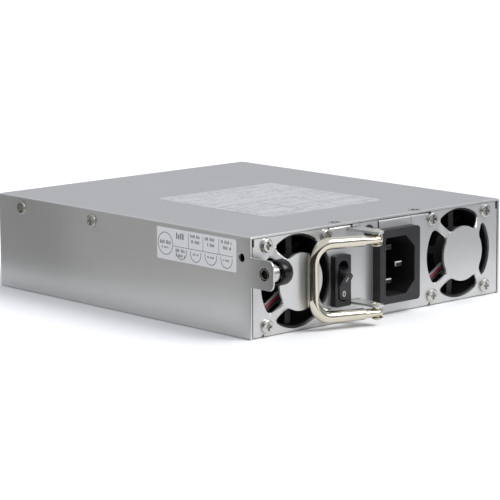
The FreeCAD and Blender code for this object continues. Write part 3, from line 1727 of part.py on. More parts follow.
# -------------------------------------------------------------- mains wiring

def inlet_tab_end(index):
    """The rear end of one inlet pin's soldering tab: 0 live, 1 neutral, 2 earth."""
    x, z = inlet_pin_points()[index][:2]
    return x, panel_face + inlet_body_depth + inlet_tab_length, z


def switch_tab_end(side):
    """The rear end of the switch's upper (1) or lower (-1) terminal."""
    return (from_fan(switch_from_fan), panel_face + switch_body_depth + terminal_length,
            switch_height + side * switch_terminal_rise)


def live_wire():
    """From the inlet's upper pin to the switch's upper terminal."""
    x, start, z = inlet_tab_end(0)
    sx, sy, sz = switch_tab_end(1)
    turn = start + live_wire_turn
    points = [(x, start, z), (x, turn, z), (sx, turn, sz), (sx, sy, sz)]
    return wire(points, mains_wire_radius, mains_wire_bend)


def switched_wire():
    """From the switch's lower terminal down to the board."""
    x, start, z = switch_tab_end(-1)
    landing = board_front + mains_wire_landing
    points = [(x, start, z), (x, landing, z), (x, landing, board_top)]
    return wire(points, mains_wire_radius, mains_wire_bend)


def neutral_wire():
    """From the inlet's lower pin down to the board."""
    x, start, z = inlet_tab_end(1)
    landing = board_front + mains_wire_landing
    points = [(x, start, z), (x, landing, z), (x, landing, board_top)]
    return wire(points, mains_wire_radius, mains_wire_bend)


def earth_stud_xy():
    x, y, z = inlet_tab_end(2)
    return x + earth_stud_offset[0], y + earth_stud_offset[1]


def earth_wire():
    """From the inlet's earth pin down to the stud on the tray."""
    x, start, z = inlet_tab_end(2)
    turn = earth_stud_xy()[1]
    points = [(x, start, z), (x, turn, z), (x, turn, sheet + earth_ring_thick)]
    return wire(points, mains_wire_radius, mains_wire_bend)


def earth_stud():
    """A ring terminal under a nut on a stud."""
    x, y = earth_stud_xy()
    ring_top = sheet + earth_ring_thick
    ring = rod((x, y, sheet), (0, 0, 1), earth_ring_radius, earth_ring_thick)
    lead, half = earth_tongue
    tongue = box(x - earth_stud_offset[0] - lead, x, y - half, y + half, sheet, ring_top)
    stud = rod((x, y, sheet), (0, 0, 1), earth_stud_radius, earth_stud_length)
    turns = [math.radians(angle) for angle in range(0, 360, 60)]
    corners = [(x + earth_nut_radius * math.cos(turn), y + earth_nut_radius * math.sin(turn), ring_top)
               for turn in turns]
    return fuse([ring, tongue, stud, prism(corners, (0, 0, 1), earth_nut_height)])


# ------------------------------------------------------------------- labels

def side_label():
    return box(left - label_thick, left, front + side_label_y[0], front + side_label_y[1],
               height - side_label_below_top[0], height - side_label_below_top[1])


def top_label():
    return box(from_left(top_label_x[0]), from_left(top_label_x[1]), front + top_label_y[0],
               front + top_label_y[1], height, height + label_thick)


def main():
    os.makedirs("parts", exist_ok=True)
    fan_left, fan_right = fan_xs
    save("top_cover", top_cover())
    save("chassis_tray", chassis_tray())
    save("side_screws", *side_screws())
    save("lid_screws", *lid_screws())
    save("fan_screws", *fan_screws())
    save("side_label", side_label())
    save("top_label", top_label())
    save("left_fan_frame", fan_frame(fan_left))
    save("right_fan_frame", fan_frame(fan_right))
    save("fan_bearings", *[fan_bearing(x) for x in fan_xs])
    save("fan_stators", *[fan_stator(x) for x in fan_xs])
    save("left_fan_rotor", fan_rotor(fan_left))
    save("right_fan_rotor", fan_rotor(fan_right))
    save("left_fan_shaft", fan_shaft(fan_left))
    save("right_fan_shaft", fan_shaft(fan_right))
    save("fan_black_wires", *fan_wires(0))
    save("fan_red_wires", *fan_wires(1))
    save("fan_white_wires", *fan_wires(2))
    save("fan_headers", *fan_headers())
    save("captive_ferrule", ferrule())
    save("captive_screw", captive_screw())
    save("captive_knob", captive_knob())
    save("captive_washer", captive_washer())
    save("captive_spring", captive_spring())
    save("handle_rod", handle_rod())
    save("handle_lugs", *handle_lugs())
    save("handle_rivets", *handle_rivets())
    save("switch_body", switch_body())
    save("switch_rocker", rocker())
    save("switch_terminals", *switch_terminals())
    save("inlet_body", inlet_body())
    save("inlet_pins", *inlet_pins())
    save("light_holder", light_holder())
    save("status_light", status_light())
    save("main_board", main_board())
    save("board_standoffs", *standoffs())
    save("inner_screws", *board_screws(), *transistor_screws())
    save("insulating_sheet", insulating_sheet())
    save("choke_cores", filter_choke_core(), *output_choke_cores(), boost_choke_core())
    save("choke_windings", *filter_choke_windings(), *output_choke_windings(), boost_choke_coil())
    save("choke_bases", *choke_bases())
    save("film_capacitors", *film_capacitors())
    save("disc_capacitors", *disc_capacitors())
    save("fuse_tube", fuse_tube())
    save("fuse_clips", *fuse_clips())
    save("bridge_rectifier", bridge_rectifier())
    save("bulk_capacitors", *bulk_capacitors())
    save("heatsinks", tapped_main_heatsink(), rear_heatsink(), bridge_heatsink())
    save("power_semiconductors", *power_transistors(), *rectifier_diodes())
    save("transformer_cores", transformer_core(), standby_core())
    save("transformer_coils", transformer_bobbin(), standby_coil())
    save("output_capacitors", *output_capacitors())
    save("control_board", control_board())
    save("control_chips", *control_chips())
    save("connector_housing", connector_housing())
    save("connector_contacts", *power_blades(), *signal_pins())
    save("live_wires", live_wire(), switched_wire())
    save("neutral_wire", neutral_wire())
    save("earth_wire", earth_wire())
    save("earth_stud", earth_stud())


main()
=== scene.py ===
import json
import math

import bmesh
import bpy
from bpy.props import FloatProperty, FloatVectorProperty, IntProperty, PointerProperty
from bpy.types import Operator, Panel, PropertyGroup
from mathutils import Matrix, Vector

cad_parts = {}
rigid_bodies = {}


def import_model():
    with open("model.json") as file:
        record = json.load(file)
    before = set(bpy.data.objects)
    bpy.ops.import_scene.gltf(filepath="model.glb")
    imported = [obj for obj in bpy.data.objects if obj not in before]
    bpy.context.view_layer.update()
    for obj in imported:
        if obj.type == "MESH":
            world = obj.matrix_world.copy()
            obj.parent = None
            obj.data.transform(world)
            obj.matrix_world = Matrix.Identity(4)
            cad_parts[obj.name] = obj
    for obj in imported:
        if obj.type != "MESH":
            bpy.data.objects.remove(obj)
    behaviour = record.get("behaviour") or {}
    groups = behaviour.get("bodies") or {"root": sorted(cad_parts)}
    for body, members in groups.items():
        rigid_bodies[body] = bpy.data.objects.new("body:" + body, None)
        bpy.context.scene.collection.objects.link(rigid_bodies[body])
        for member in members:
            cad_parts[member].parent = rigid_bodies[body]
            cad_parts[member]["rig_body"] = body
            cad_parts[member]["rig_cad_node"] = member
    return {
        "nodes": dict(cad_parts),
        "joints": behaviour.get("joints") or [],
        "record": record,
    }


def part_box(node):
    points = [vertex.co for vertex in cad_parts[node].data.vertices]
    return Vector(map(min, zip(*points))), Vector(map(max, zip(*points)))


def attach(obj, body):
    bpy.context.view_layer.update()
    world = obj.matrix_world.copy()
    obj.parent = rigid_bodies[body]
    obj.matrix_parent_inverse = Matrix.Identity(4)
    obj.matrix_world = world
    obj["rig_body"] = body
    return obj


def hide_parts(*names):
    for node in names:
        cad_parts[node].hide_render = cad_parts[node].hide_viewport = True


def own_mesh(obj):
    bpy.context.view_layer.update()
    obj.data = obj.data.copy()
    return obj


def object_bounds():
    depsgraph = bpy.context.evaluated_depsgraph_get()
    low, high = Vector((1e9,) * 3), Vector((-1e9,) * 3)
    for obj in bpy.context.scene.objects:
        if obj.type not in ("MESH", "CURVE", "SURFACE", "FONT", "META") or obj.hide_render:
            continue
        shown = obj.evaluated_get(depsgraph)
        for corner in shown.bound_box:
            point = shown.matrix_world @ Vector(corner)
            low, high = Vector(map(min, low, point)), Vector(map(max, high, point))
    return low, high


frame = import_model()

bl_info = {
    "name": "Hot-Swap Power Supply",
    "version": (1, 0, 0),
    "blender": (4, 5, 0),
    "location": "3D Viewport > Sidebar > Power Supply",
    "description": "Dresses the frame of a hot-swap server power supply with modelled pieces and finishes",
    "category": "Object",
}

MM = 0.001
TOUCH = 0.01 * MM
NODES = frame["nodes"]
JOINTS = {joint["name"]: joint for joint in frame["joints"]}
CAD_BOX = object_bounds()


def linear(hex_colour):
    """An sRGB hex colour as linear RGBA."""
    channels = [int(hex_colour[i:i + 2], 16) / 255 for i in (1, 3, 5)]
    return tuple(c / 12.92 if c <= 0.04045 else ((c + 0.055) / 1.055) ** 2.4
                 for c in channels) + (1.0,)


# ------------------------------------------------------------------ settings

class StageSettings(PropertyGroup):
    floor_colour: FloatVectorProperty(
        name="Floor colour", description="Colour of the painted floor", subtype="COLOR", size=4,
        min=0.0, max=1.0, default=linear("#F8F8F8"))
    overhead_level: FloatProperty(
        name="Overhead level", description="Brightness of the surroundings straight above",
        min=0.0, max=2.0, default=0.85)
    behind_level: FloatProperty(
        name="Behind level", description="Brightness of the surroundings behind the object, near the horizon",
        min=0.0, max=2.0, default=0.38)
    before_level: FloatProperty(
        name="Before level", description="Brightness of the surroundings before the object, near the horizon",
        min=0.0, max=2.0, default=0.22)
    key_strength: FloatProperty(
        name="Key strength", description="Strength of the key lamp", min=0.0, max=10.0, default=2.2)


class SheetSettings(PropertyGroup):
    edge_round: FloatProperty(
        name="Edge rounding", description="Rounding of the sheared edges of the sheet steel",
        unit="LENGTH", min=0.0, max=0.5 * MM, default=0.22 * MM)
    colour: FloatVectorProperty(
        name="Zinc colour", description="Colour of the zinc-coated sheet", subtype="COLOR", size=4,
        min=0.0, max=1.0, default=linear("#CDCDCB"))


class HandleSettings(PropertyGroup):
    rod_radius: FloatProperty(
        name="Rod radius", description="Radius of the handle's rod",
        unit="LENGTH", min=1.0 * MM, max=4.0 * MM, default=2.4 * MM)
    bend_radius: FloatProperty(
        name="Bend radius", description="Radius of the handle's bends at the middle of the rod",
        unit="LENGTH", min=3.0 * MM, max=12.0 * MM, default=8.0 * MM)
    sides: IntProperty(
        name="Sides", description="Flats round the rod", min=12, max=96, default=40)
    bend_steps: IntProperty(
        name="Bend steps", description="Steps in each bend", min=4, max=48, default=20)


class LabelSettings(PropertyGroup):
    corner_radius: FloatProperty(
        name="Corner radius", description="Radius of the top label's corners",
        unit="LENGTH", min=0.0, max=10.0 * MM, default=3.0 * MM)
    line_width: FloatProperty(
        name="Line width", description="Width of the printed lines",
        unit="LENGTH", min=0.05 * MM, max=1.0 * MM, default=0.28 * MM)


# ----------------------------------------------------------------- materials

def add_node(material, kind, settings=None, inputs=None, links=None):
    """A shader node with its settings, input values and links: {socket: (node, output)}."""
    tree = material.node_tree
    node = tree.nodes.new(kind)
    for name, value in (settings or {}).items():
        setattr(node, name, value)
    for name, value in (inputs or {}).items():
        node.inputs[name].default_value = value
    for name, (source, output) in (links or {}).items():
        tree.links.new(source.outputs[output], node.inputs[name])
    return node


def new_material(name, colour, metallic, roughness):
    """A material with a Principled shader, and the Object coordinates that its patterns read."""
    material = bpy.data.materials.new(name)
    material.use_nodes = True
    shader = material.node_tree.nodes["Principled BSDF"]
    shader.inputs["Base Color"].default_value = linear(colour) if isinstance(colour, str) else colour
    shader.inputs["Metallic"].default_value = metallic
    shader.inputs["Roughness"].default_value = roughness
    where = add_node(material, "ShaderNodeTexCoord")
    return material, shader, where


def plug(material, source, output, shader, socket):
    material.node_tree.links.new(source.outputs[output], shader.inputs[socket])


def shade(colour, factor):
    """A colour made darker or lighter."""
    return tuple(min(1.0, c * factor) for c in colour[:3]) + (1.0,)


def limits(low, high, start=0.3, end=0.7):
    """A Map Range node's inputs, which bring a pattern's middle range to low..high."""
    return {"From Min": start, "From Max": end, "To Min": low, "To Max": high}


# A Mix node's setting for colours, and its sockets then: the first colour, the second, the result.
COLOURS = {"data_type": "RGBA"}
FIRST, SECOND, MIXED = 6, 7, 2


def zinc_sheet(name, colour):
    """Zinc-coated sheet steel, cold rolled: satin grey with a fine grain along the sheet,
    and faint cloudy patches in the coating."""
    material, shader, where = new_material(name, colour, 1.0, 0.26)
    stretched = add_node(material, "ShaderNodeMapping", inputs={"Scale": (1.0, 0.02, 1.0)},
                         links={"Vector": (where, "Object")})
    # Rolling grain is about 0.1 mm apart, drawn at 0.5 mm so that it shows.
    grain = add_node(material, "ShaderNodeTexNoise", inputs={"Scale": 1 / (0.5 * MM), "Detail": 3.0},
                     links={"Vector": (stretched, "Vector")})
    # Cloudy patches of coating about 30 mm across.
    cloud = add_node(material, "ShaderNodeTexNoise", inputs={"Scale": 1 / (30 * MM), "Detail": 5.0},
                     links={"Vector": (where, "Object")})
    tint = add_node(material, "ShaderNodeMix", COLOURS,
                    {FIRST: shade(colour, 0.96), SECOND: shade(colour, 1.03)},
                    {"Factor": (grain, "Fac")})
    clouds = add_node(material, "ShaderNodeMix", COLOURS,
                      {FIRST: (0.92, 0.92, 0.93, 1.0), SECOND: (1.0, 1.0, 1.0, 1.0)},
                      {"Factor": (cloud, "Fac")})
    patchy = add_node(material, "ShaderNodeMix", {**COLOURS, "blend_type": "MULTIPLY"},
                      {"Factor": 1.0}, {FIRST: (tint, MIXED), SECOND: (clouds, MIXED)})
    rough = add_node(material, "ShaderNodeMapRange", None, limits(0.29, 0.33),
                     {"Value": (cloud, "Fac")})
    # The coating's grey bloom isn't metallic, so it keeps a share of plain diffuse grey.
    bloom = add_node(material, "ShaderNodeMapRange", None, limits(0.68, 0.74),
                     {"Value": (cloud, "Fac")})
    bump = add_node(material, "ShaderNodeBump", inputs={"Strength": 0.05, "Distance": 0.01 * MM},
                    links={"Height": (grain, "Fac")})
    plug(material, patchy, MIXED, shader, "Base Color")
    plug(material, bloom, "Result", shader, "Metallic")
    plug(material, rough, "Result", shader, "Roughness")
    plug(material, bump, "Normal", shader, "Normal")
    return material


def plated_metal(name, colour, roughness, wear=3.0):
    """Plated metal, such as nickel on steel or tin on copper: a bright even metal whose shine
    dulls a little where it has been handled."""
    material, shader, where = new_material(name, colour, 1.0, roughness)
    smudges = add_node(material, "ShaderNodeTexNoise", inputs={"Scale": 1 / (wear * MM), "Detail": 4.0},
                       links={"Vector": (where, "Object")})
    # Fine pitting of the plating, 0.3 mm apart.
    pits = add_node(material, "ShaderNodeTexNoise", inputs={"Scale": 1 / (0.3 * MM), "Detail": 2.0},
                    links={"Vector": (where, "Object")})
    rough = add_node(material, "ShaderNodeMapRange", None, limits(0.7 * roughness, 1.4 * roughness),
                     {"Value": (smudges, "Fac")})
    tint = add_node(material, "ShaderNodeMix", COLOURS,
                    {FIRST: shade(linear(colour), 0.88), SECOND: linear(colour)},
                    {"Factor": (smudges, "Fac")})
    bump = add_node(material, "ShaderNodeBump", inputs={"Strength": 0.15, "Distance": 0.01 * MM},
                    links={"Height": (pits, "Fac")})
    plug(material, tint, MIXED, shader, "Base Color")
    plug(material, rough, "Result", shader, "Roughness")
    plug(material, bump, "Normal", shader, "Normal")
    return material


def moulded_plastic(name, colour, roughness, spark=0.6, dust=0.25, gloss=0.5):
    """Moulded plastic: an even colour with the fine spark-eroded texture of its mould and a
    thin uneven film of dust that lifts the colour a little."""
    material, shader, where = new_material(name, colour, 0.0, roughness)
    shader.inputs["IOR"].default_value = 1.52
    shader.inputs["Specular IOR Level"].default_value = gloss
    texture = add_node(material, "ShaderNodeTexNoise", inputs={"Scale": 1 / (spark * MM), "Detail": 3.0},
                       links={"Vector": (where, "Object")})
    film = add_node(material, "ShaderNodeTexNoise", inputs={"Scale": 1 / (7 * MM), "Detail": 5.0},
                    links={"Vector": (where, "Object")})
    base = linear(colour)
    dusty = tuple(c + dust * 0.03 for c in base[:3]) + (1.0,)
    tint = add_node(material, "ShaderNodeMix", COLOURS, {FIRST: base, SECOND: dusty},
                    {"Factor": (film, "Fac")})
    rough = add_node(material, "ShaderNodeMapRange", None,
                     limits(0.85 * roughness, min(1.0, 1.2 * roughness)),
                     {"Value": (film, "Fac")})
    bump = add_node(material, "ShaderNodeBump", inputs={"Strength": 0.2, "Distance": 0.015 * MM},
                    links={"Height": (texture, "Fac")})
    plug(material, tint, MIXED, shader, "Base Color")
    plug(material, rough, "Result", shader, "Roughness")
    plug(material, bump, "Normal", shader, "Normal")
    return material


def label_film(name, film, ink, rows, along, depth=0.75):
    """Metallised polyester label: matt silver-grey film with rows of small grey print, too fine
    to read. Rows lie across the axis that along gives (0 for X, 1 for Y), rows millimetres apart."""
    material, shader, where = new_material(name, film, 0.0, 0.42)
    axes = add_node(material, "ShaderNodeSeparateXYZ", links={"Vector": (where, "Object")})
    across = "XYZ"[1 - along] if along < 2 else "Z"
    # One row of print each few millimetres, half of it clear.
    place = add_node(material, "ShaderNodeMath", {"operation": "MULTIPLY"}, {1: 1 / (rows * MM)},
                     {0: (axes, across)})
    row = add_node(material, "ShaderNodeMath", {"operation": "FRACT"}, links={0: (place, "Value")})
    inked = add_node(material, "ShaderNodeMath", {"operation": "LESS_THAN"}, {1: 0.5},
                     {0: (row, "Value")})
    number = add_node(material, "ShaderNodeMath", {"operation": "FLOOR"}, links={0: (place, "Value")})
    spot = add_node(material, "ShaderNodeCombineXYZ",
                    links={"X": (axes, "XYZ"[along]), "Y": (number, "Value")})
    scaled = add_node(material, "ShaderNodeMapping", inputs={"Scale": (1 / (1.4 * MM), 7.3, 1.0)},
                      links={"Vector": (spot, "Vector")})
    # Letters about 1.4 mm wide, and words and gaps of a centimetre or two.
    strokes = add_node(material, "ShaderNodeTexNoise", inputs={"Scale": 1.0, "Detail": 2.0},
                       links={"Vector": (scaled, "Vector")})
    longer = add_node(material, "ShaderNodeMapping", inputs={"Scale": (1 / (16 * MM), 3.1, 1.0)},
                      links={"Vector": (spot, "Vector")})
    words = add_node(material, "ShaderNodeTexNoise", inputs={"Scale": 1.0, "Detail": 1.0},
                     links={"Vector": (longer, "Vector")})
    stroke = add_node(material, "ShaderNodeMapRange", None, limits(0.0, 1.0, 0.44, 0.54),
                      {"Value": (strokes, "Fac")})
    word = add_node(material, "ShaderNodeMapRange", None, limits(0.0, 1.0, 0.46, 0.50),
                    {"Value": (words, "Fac")})
    print_a = add_node(material, "ShaderNodeMath", {"operation": "MULTIPLY"},
                       links={0: (stroke, "Result"), 1: (word, "Result")})
    print_b = add_node(material, "ShaderNodeMath", {"operation": "MULTIPLY"},
                       links={0: (print_a, "Value"), 1: (inked, "Value")})
    amount = add_node(material, "ShaderNodeMath", {"operation": "MULTIPLY"}, {1: depth},
                      {0: (print_b, "Value")})
    tint = add_node(material, "ShaderNodeMix", COLOURS, {FIRST: linear(film), SECOND: linear(ink)},
                    {"Factor": (amount, "Value")})
    ripple = add_node(material, "ShaderNodeTexNoise", inputs={"Scale": 1 / (9 * MM), "Detail": 3.0},
                      links={"Vector": (where, "Object")})
    rough = add_node(material, "ShaderNodeMapRange", None, limits(0.36, 0.50),
                     {"Value": (ripple, "Fac")})
    bump = add_node(material, "ShaderNodeBump", inputs={"Strength": 0.15, "Distance": 0.05 * MM},
                    links={"Height": (ripple, "Fac")})
    plug(material, tint, MIXED, shader, "Base Color")
    plug(material, rough, "Result", shader, "Roughness")
    plug(material, bump, "Normal", shader, "Normal")
    return material


def printing_ink(name, colour, dark, light, speck):
    """Matt printing ink that covers unevenly, in specks whose size is given in millimetres."""
    ink, shader, where = new_material(name, colour, 0.0, 0.6)
    specks = add_node(ink, "ShaderNodeTexNoise", inputs={"Scale": 1 / (speck * MM), "Detail": 2.0},
                      links={"Vector": (where, "Object")})
    tint = add_node(ink, "ShaderNodeMix", COLOURS, {FIRST: linear(dark), SECOND: linear(light)},
                    {"Factor": (specks, "Fac")})
    plug(ink, tint, MIXED, shader, "Base Color")
    return ink


# ------------------------------------------------------------ hand modelling

def deselect():
    bpy.ops.object.select_all(action="DESELECT")


def only(piece):
    """Make one piece the only one selected, and active."""
    deselect()
    piece.select_set(True)
    bpy.context.view_layer.objects.active = piece


def started(name):
    """Name the primitive that was just added."""
    piece = bpy.context.object
    piece.name = name
    piece.data.name = name
    return piece


def pick(piece, kind, test):
    """In edit mode, select only the faces, edges or vertices that pass the test."""
    mesh = bmesh.from_edit_mesh(piece.data)
    for group in (mesh.faces, mesh.edges, mesh.verts):
        for item in group:
            item.select = False
    bpy.ops.mesh.select_mode(type={"faces": "FACE", "edges": "EDGE", "verts": "VERT"}[kind])
    mesh = bmesh.from_edit_mesh(piece.data)
    for item in getattr(mesh, kind):
        if test(item):
            item.select_set(True)
    mesh.select_flush_mode()
    bmesh.update_edit_mesh(piece.data)


def apply_place(piece):
    only(piece)
    bpy.ops.object.transform_apply(location=True, rotation=True, scale=True)


def apply_modifier(piece, kind, **settings):
    only(piece)
    modifier = piece.modifiers.new(kind.title(), kind)
    for name, value in settings.items():
        setattr(modifier, name, value)
    bpy.ops.object.modifier_apply(modifier=modifier.name)


def copy_piece(piece, name, shift=(0, 0, 0)):
    """A copy with its own mesh, moved, its place in its mesh."""
    only(piece)
    bpy.ops.object.duplicate(linked=False)
    copy = started(name)
    copy.location = copy.location + Vector(shift)
    apply_place(copy)
    return copy


def joined(pieces, name):
    deselect()
    for piece in pieces:
        piece.select_set(True)
    bpy.context.view_layer.objects.active = pieces[0]
    bpy.ops.object.join()
    return started(name)


def paint(piece, material):
    piece.data.materials.clear()
    piece.data.materials.append(material)


def smooth(piece, degrees=35):
    only(piece)
    bpy.ops.object.shade_smooth_by_angle(angle=math.radians(degrees))


def place_piece(piece, body, slot, *replaced):
    """Let the piece ride on a body and stand for frame nodes, which it hides. The slot is not used."""
    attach(piece, body)
    if replaced:
        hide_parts(*replaced)


def finish_node(name, material):
    """Give a frame node its finish."""
    paint(NODES[name], material)


def body_of(node):
    """The body that a frame node rides on."""
    return NODES[node]["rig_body"]


def slot_of(node):
    """The material slot that the record gives a node."""
    for part in frame["record"]["subparts"]:
        if part["node"] == node:
            return part["material_slot"]
    raise KeyError(node)


# --------------------------------------------------------------------- stage

class PSU_OT_stage(Operator):
    """Build the floor, the lamp, the surroundings and the camera"""
    bl_idname = "psu.stage"
    bl_label = "Stage"

    def execute(self, context):
        settings = context.scene.psu_stage
        add_floor(settings.floor_colour)
        add_surroundings(context.scene, settings)
        add_cards()
        add_key_lamp(settings.key_strength)
        add_camera(context.scene)
        context.scene.view_settings.view_transform = "Standard"
        return {"FINISHED"}


def add_floor(colour):
    bpy.ops.mesh.primitive_plane_add(size=16.0, location=(0, 0, -0.2 * MM))
    floor = started("studio_floor")
    material, shader, where = new_material("painted_floor", tuple(colour), 0.0, 0.9)
    paint(floor, material)


def add_surroundings(scene, settings):
    """A room that is bright above, mid grey behind the object and darker before it."""
    world = bpy.data.worlds.new("surroundings")
    world.use_nodes = True
    scene.world = world
    where = add_node(world, "ShaderNodeTexCoord")
    axes = add_node(world, "ShaderNodeSeparateXYZ", links={"Vector": (where, "Generated")})
    backward = add_node(world, "ShaderNodeVectorMath", {"operation": "DOT_PRODUCT"},
                        {1: (0.67, 0.74, 0.0)}, {0: (where, "Generated")})
    ring = add_node(world, "ShaderNodeMapRange", None,
                    limits(settings.before_level, settings.behind_level, -0.3, 0.7),
                    {"Value": (backward, "Value")})
    above = add_node(world, "ShaderNodeMapRange", None, limits(0.0, 1.0, 0.15, 0.6),
                     {"Value": (axes, "Z")})
    level = add_node(world, "ShaderNodeMix", {"data_type": "FLOAT"}, {3: settings.overhead_level},
                     {0: (above, "Result"), 2: (ring, "Result")})
    colour = add_node(world, "ShaderNodeVectorMath", {"operation": "SCALE"}, {0: (0.965, 0.99, 1.06)},
                      {"Scale": (level, 0)})
    world.node_tree.links.new(colour.outputs[0], world.node_tree.nodes["Background"].inputs["Color"])


# Upright cards beside the object, seen only in reflections: name, ends in plan (m), height (m), shade.
CARDS = (
    ("left_rear_card", (-0.100, 0.070), (-0.085, 0.360), 0.20, "#75736D"),
    ("left_front_card", (-0.130, -0.100), (-0.100, 0.070), 0.20, "#A9A8A2"),
    ("lens_side_card", (-0.340, -0.040), (-0.060, -0.360), 0.12, "#35332D"),
    ("knob_side_card", (-0.092, -0.140), (-0.090, -0.062), 0.045, "#26241F"),
    ("front_card", (0.025, -0.150), (0.420, -0.125), 0.20, "#B4B6B9"),
)
# A dark mat on the floor before the object, seen only in reflections too.
MAT_LOW, MAT_HIGH = (-0.44, -0.46), (-0.03, -0.125)


def add_cards():
    for name, start, end, height, shade_colour in CARDS:
        run = Vector(end) - Vector(start)
        card = reflection_card(name, run.length, height, shade_colour)
        card.rotation_euler = (math.radians(90), 0, math.atan2(run.y, run.x))
        card.location = ((start[0] + end[0]) / 2, (start[1] + end[1]) / 2, height / 2)
        apply_place(card)
    mat = reflection_card("dark_mat", MAT_HIGH[0] - MAT_LOW[0], MAT_HIGH[1] - MAT_LOW[1], "#3A3832")
    mat.location = ((MAT_LOW[0] + MAT_HIGH[0]) / 2, (MAT_LOW[1] + MAT_HIGH[1]) / 2, 0.5 * MM)
    apply_place(mat)


def reflection_card(name, width, depth, shade_colour):
    bpy.ops.mesh.primitive_plane_add(size=1.0, location=(0, 0, 0))
    card = started(name)
    card.scale = (width, depth, 1)
    material, shader, where = new_material(name + "_paper", shade_colour, 0.0, 0.9)
    paint(card, material)
    card.visible_camera = False
    card.visible_shadow = False
    card.visible_diffuse = False
    return card


def add_key_lamp(strength):
    place = Vector((0.8, -1.2, 1.4))
    bpy.ops.object.light_add(type="SUN", location=place)
    key = bpy.context.object
    key.name = "key_lamp"
    key.data.energy = strength
    key.data.angle = math.radians(35)
    key.rotation_euler = place.to_track_quat("Z", "Y").to_euler()


def add_camera(scene):
    bpy.ops.object.camera_add(location=(-0.7128, -0.7945, 0.2022))
    camera = bpy.context.object
    camera.name = "main_camera"
    camera.rotation_euler = camera_turn().to_euler()
    camera.data.sensor_width = 36.0
    camera.data.lens = 181.8
    camera.data.clip_start = 0.05
    scene.camera = camera


def camera_turn():
    """The camera's rotation from its heading, its tilt and its small roll."""
    yaw, pitch, roll = math.radians(41.97), math.radians(9.85), math.radians(-0.42)
    level = Vector((math.sin(yaw), math.cos(yaw), 0))
    side = Vector((math.cos(yaw), -math.sin(yaw), 0))
    look = math.cos(pitch) * level - math.sin(pitch) * Vector((0, 0, 1))
    rise = math.sin(pitch) * level + math.cos(pitch) * Vector((0, 0, 1))
    right = math.cos(roll) * side + math.sin(roll) * rise
    up = -math.sin(roll) * side + math.cos(roll) * rise
    return Matrix((right, up, -look)).transposed()


# ------------------------------------------------------------ sheet metal

class PSU_OT_sheets(Operator):
    """Round the sheared edges of the cover and the tray and give them their zinc finish"""
    bl_idname = "psu.sheets"
    bl_label = "Sheet Metal"

    def execute(self, context):
        settings = context.scene.psu_sheets
        steel = zinc_sheet("cold_rolled_zinc_sheet", tuple(settings.colour))
        for node, share, reach in (("top_cover", 1.0, REAR), ("chassis_tray", 0.6, FRONT_FACE),
                                   ("handle_lugs", 0.6, REAR)):
            piece = edged_copy(node, share * settings.edge_round, reach)
            paint(piece, steel)
            place_piece(piece, "root", slot_of(node), node)
        return {"FINISHED"}


REAR = CAD_BOX[1].y
# Of the tray, only the front wall's outer edges are rounded: the flanges behind it are covered.
FRONT_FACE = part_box("top_cover")[0].y + 1.1 * MM


def edged_copy(node, width, reach=REAR):
    """A copy of a frame node with its loose triangles merged, and its sharp edges rounded from the
    front end back to the Y given as reach."""
    only(NODES[node])
    bpy.ops.object.duplicate(linked=False)
    piece = started(node + "_edged")
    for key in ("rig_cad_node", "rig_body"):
        if key in piece:
            del piece[key]
    piece.parent = None
    bpy.ops.object.mode_set(mode="EDIT")
    bpy.ops.mesh.select_all(action="SELECT")
    bpy.ops.mesh.remove_doubles(threshold=0.002 * MM)
    bpy.ops.mesh.dissolve_limited(angle_limit=math.radians(0.5))
    pick(piece, "edges", lambda e: len(e.link_faces) == 2 and e.calc_face_angle() > math.radians(40)
         and all(v.co.y < reach + TOUCH for v in e.verts))
    bpy.ops.transform.edge_bevelweight(value=1.0)
    bpy.ops.object.mode_set(mode="OBJECT")
    apply_modifier(piece, "BEVEL", width=width, segments=2, limit_method="WEIGHT",
                   use_clamp_overlap=False)
    smooth(piece, 40)
    apply_modifier(piece, "WEIGHTED_NORMAL", keep_sharp=True, weight=100)
    return piece


# ------------------------------------------------------------------- handle

class PSU_OT_handle(Operator):
    """Bend the handle from rod, with flattened ends round its pins"""
    bl_idname = "psu.handle"
    bl_label = "Handle"

    def execute(self, context):
        settings = context.scene.psu_handle
        nickel = plated_metal("bright_nickel_plate", "#D9D3C2", 0.12)
        rod = bent_rod(settings)
        paint(rod, nickel)
        place_piece(rod, "handle", slot_of("handle_rod"), "handle_rod")
        finish_node("handle_rivets", nickel)
        return {"FINISHED"}


CAD_ROD_RADIUS = 2.15 * MM
# The grip stands this much further from the pins than the frame's plain rod.
GRIP_REACH = 0.9 * MM
PIN_HOLE_RADIUS = 1.3 * MM


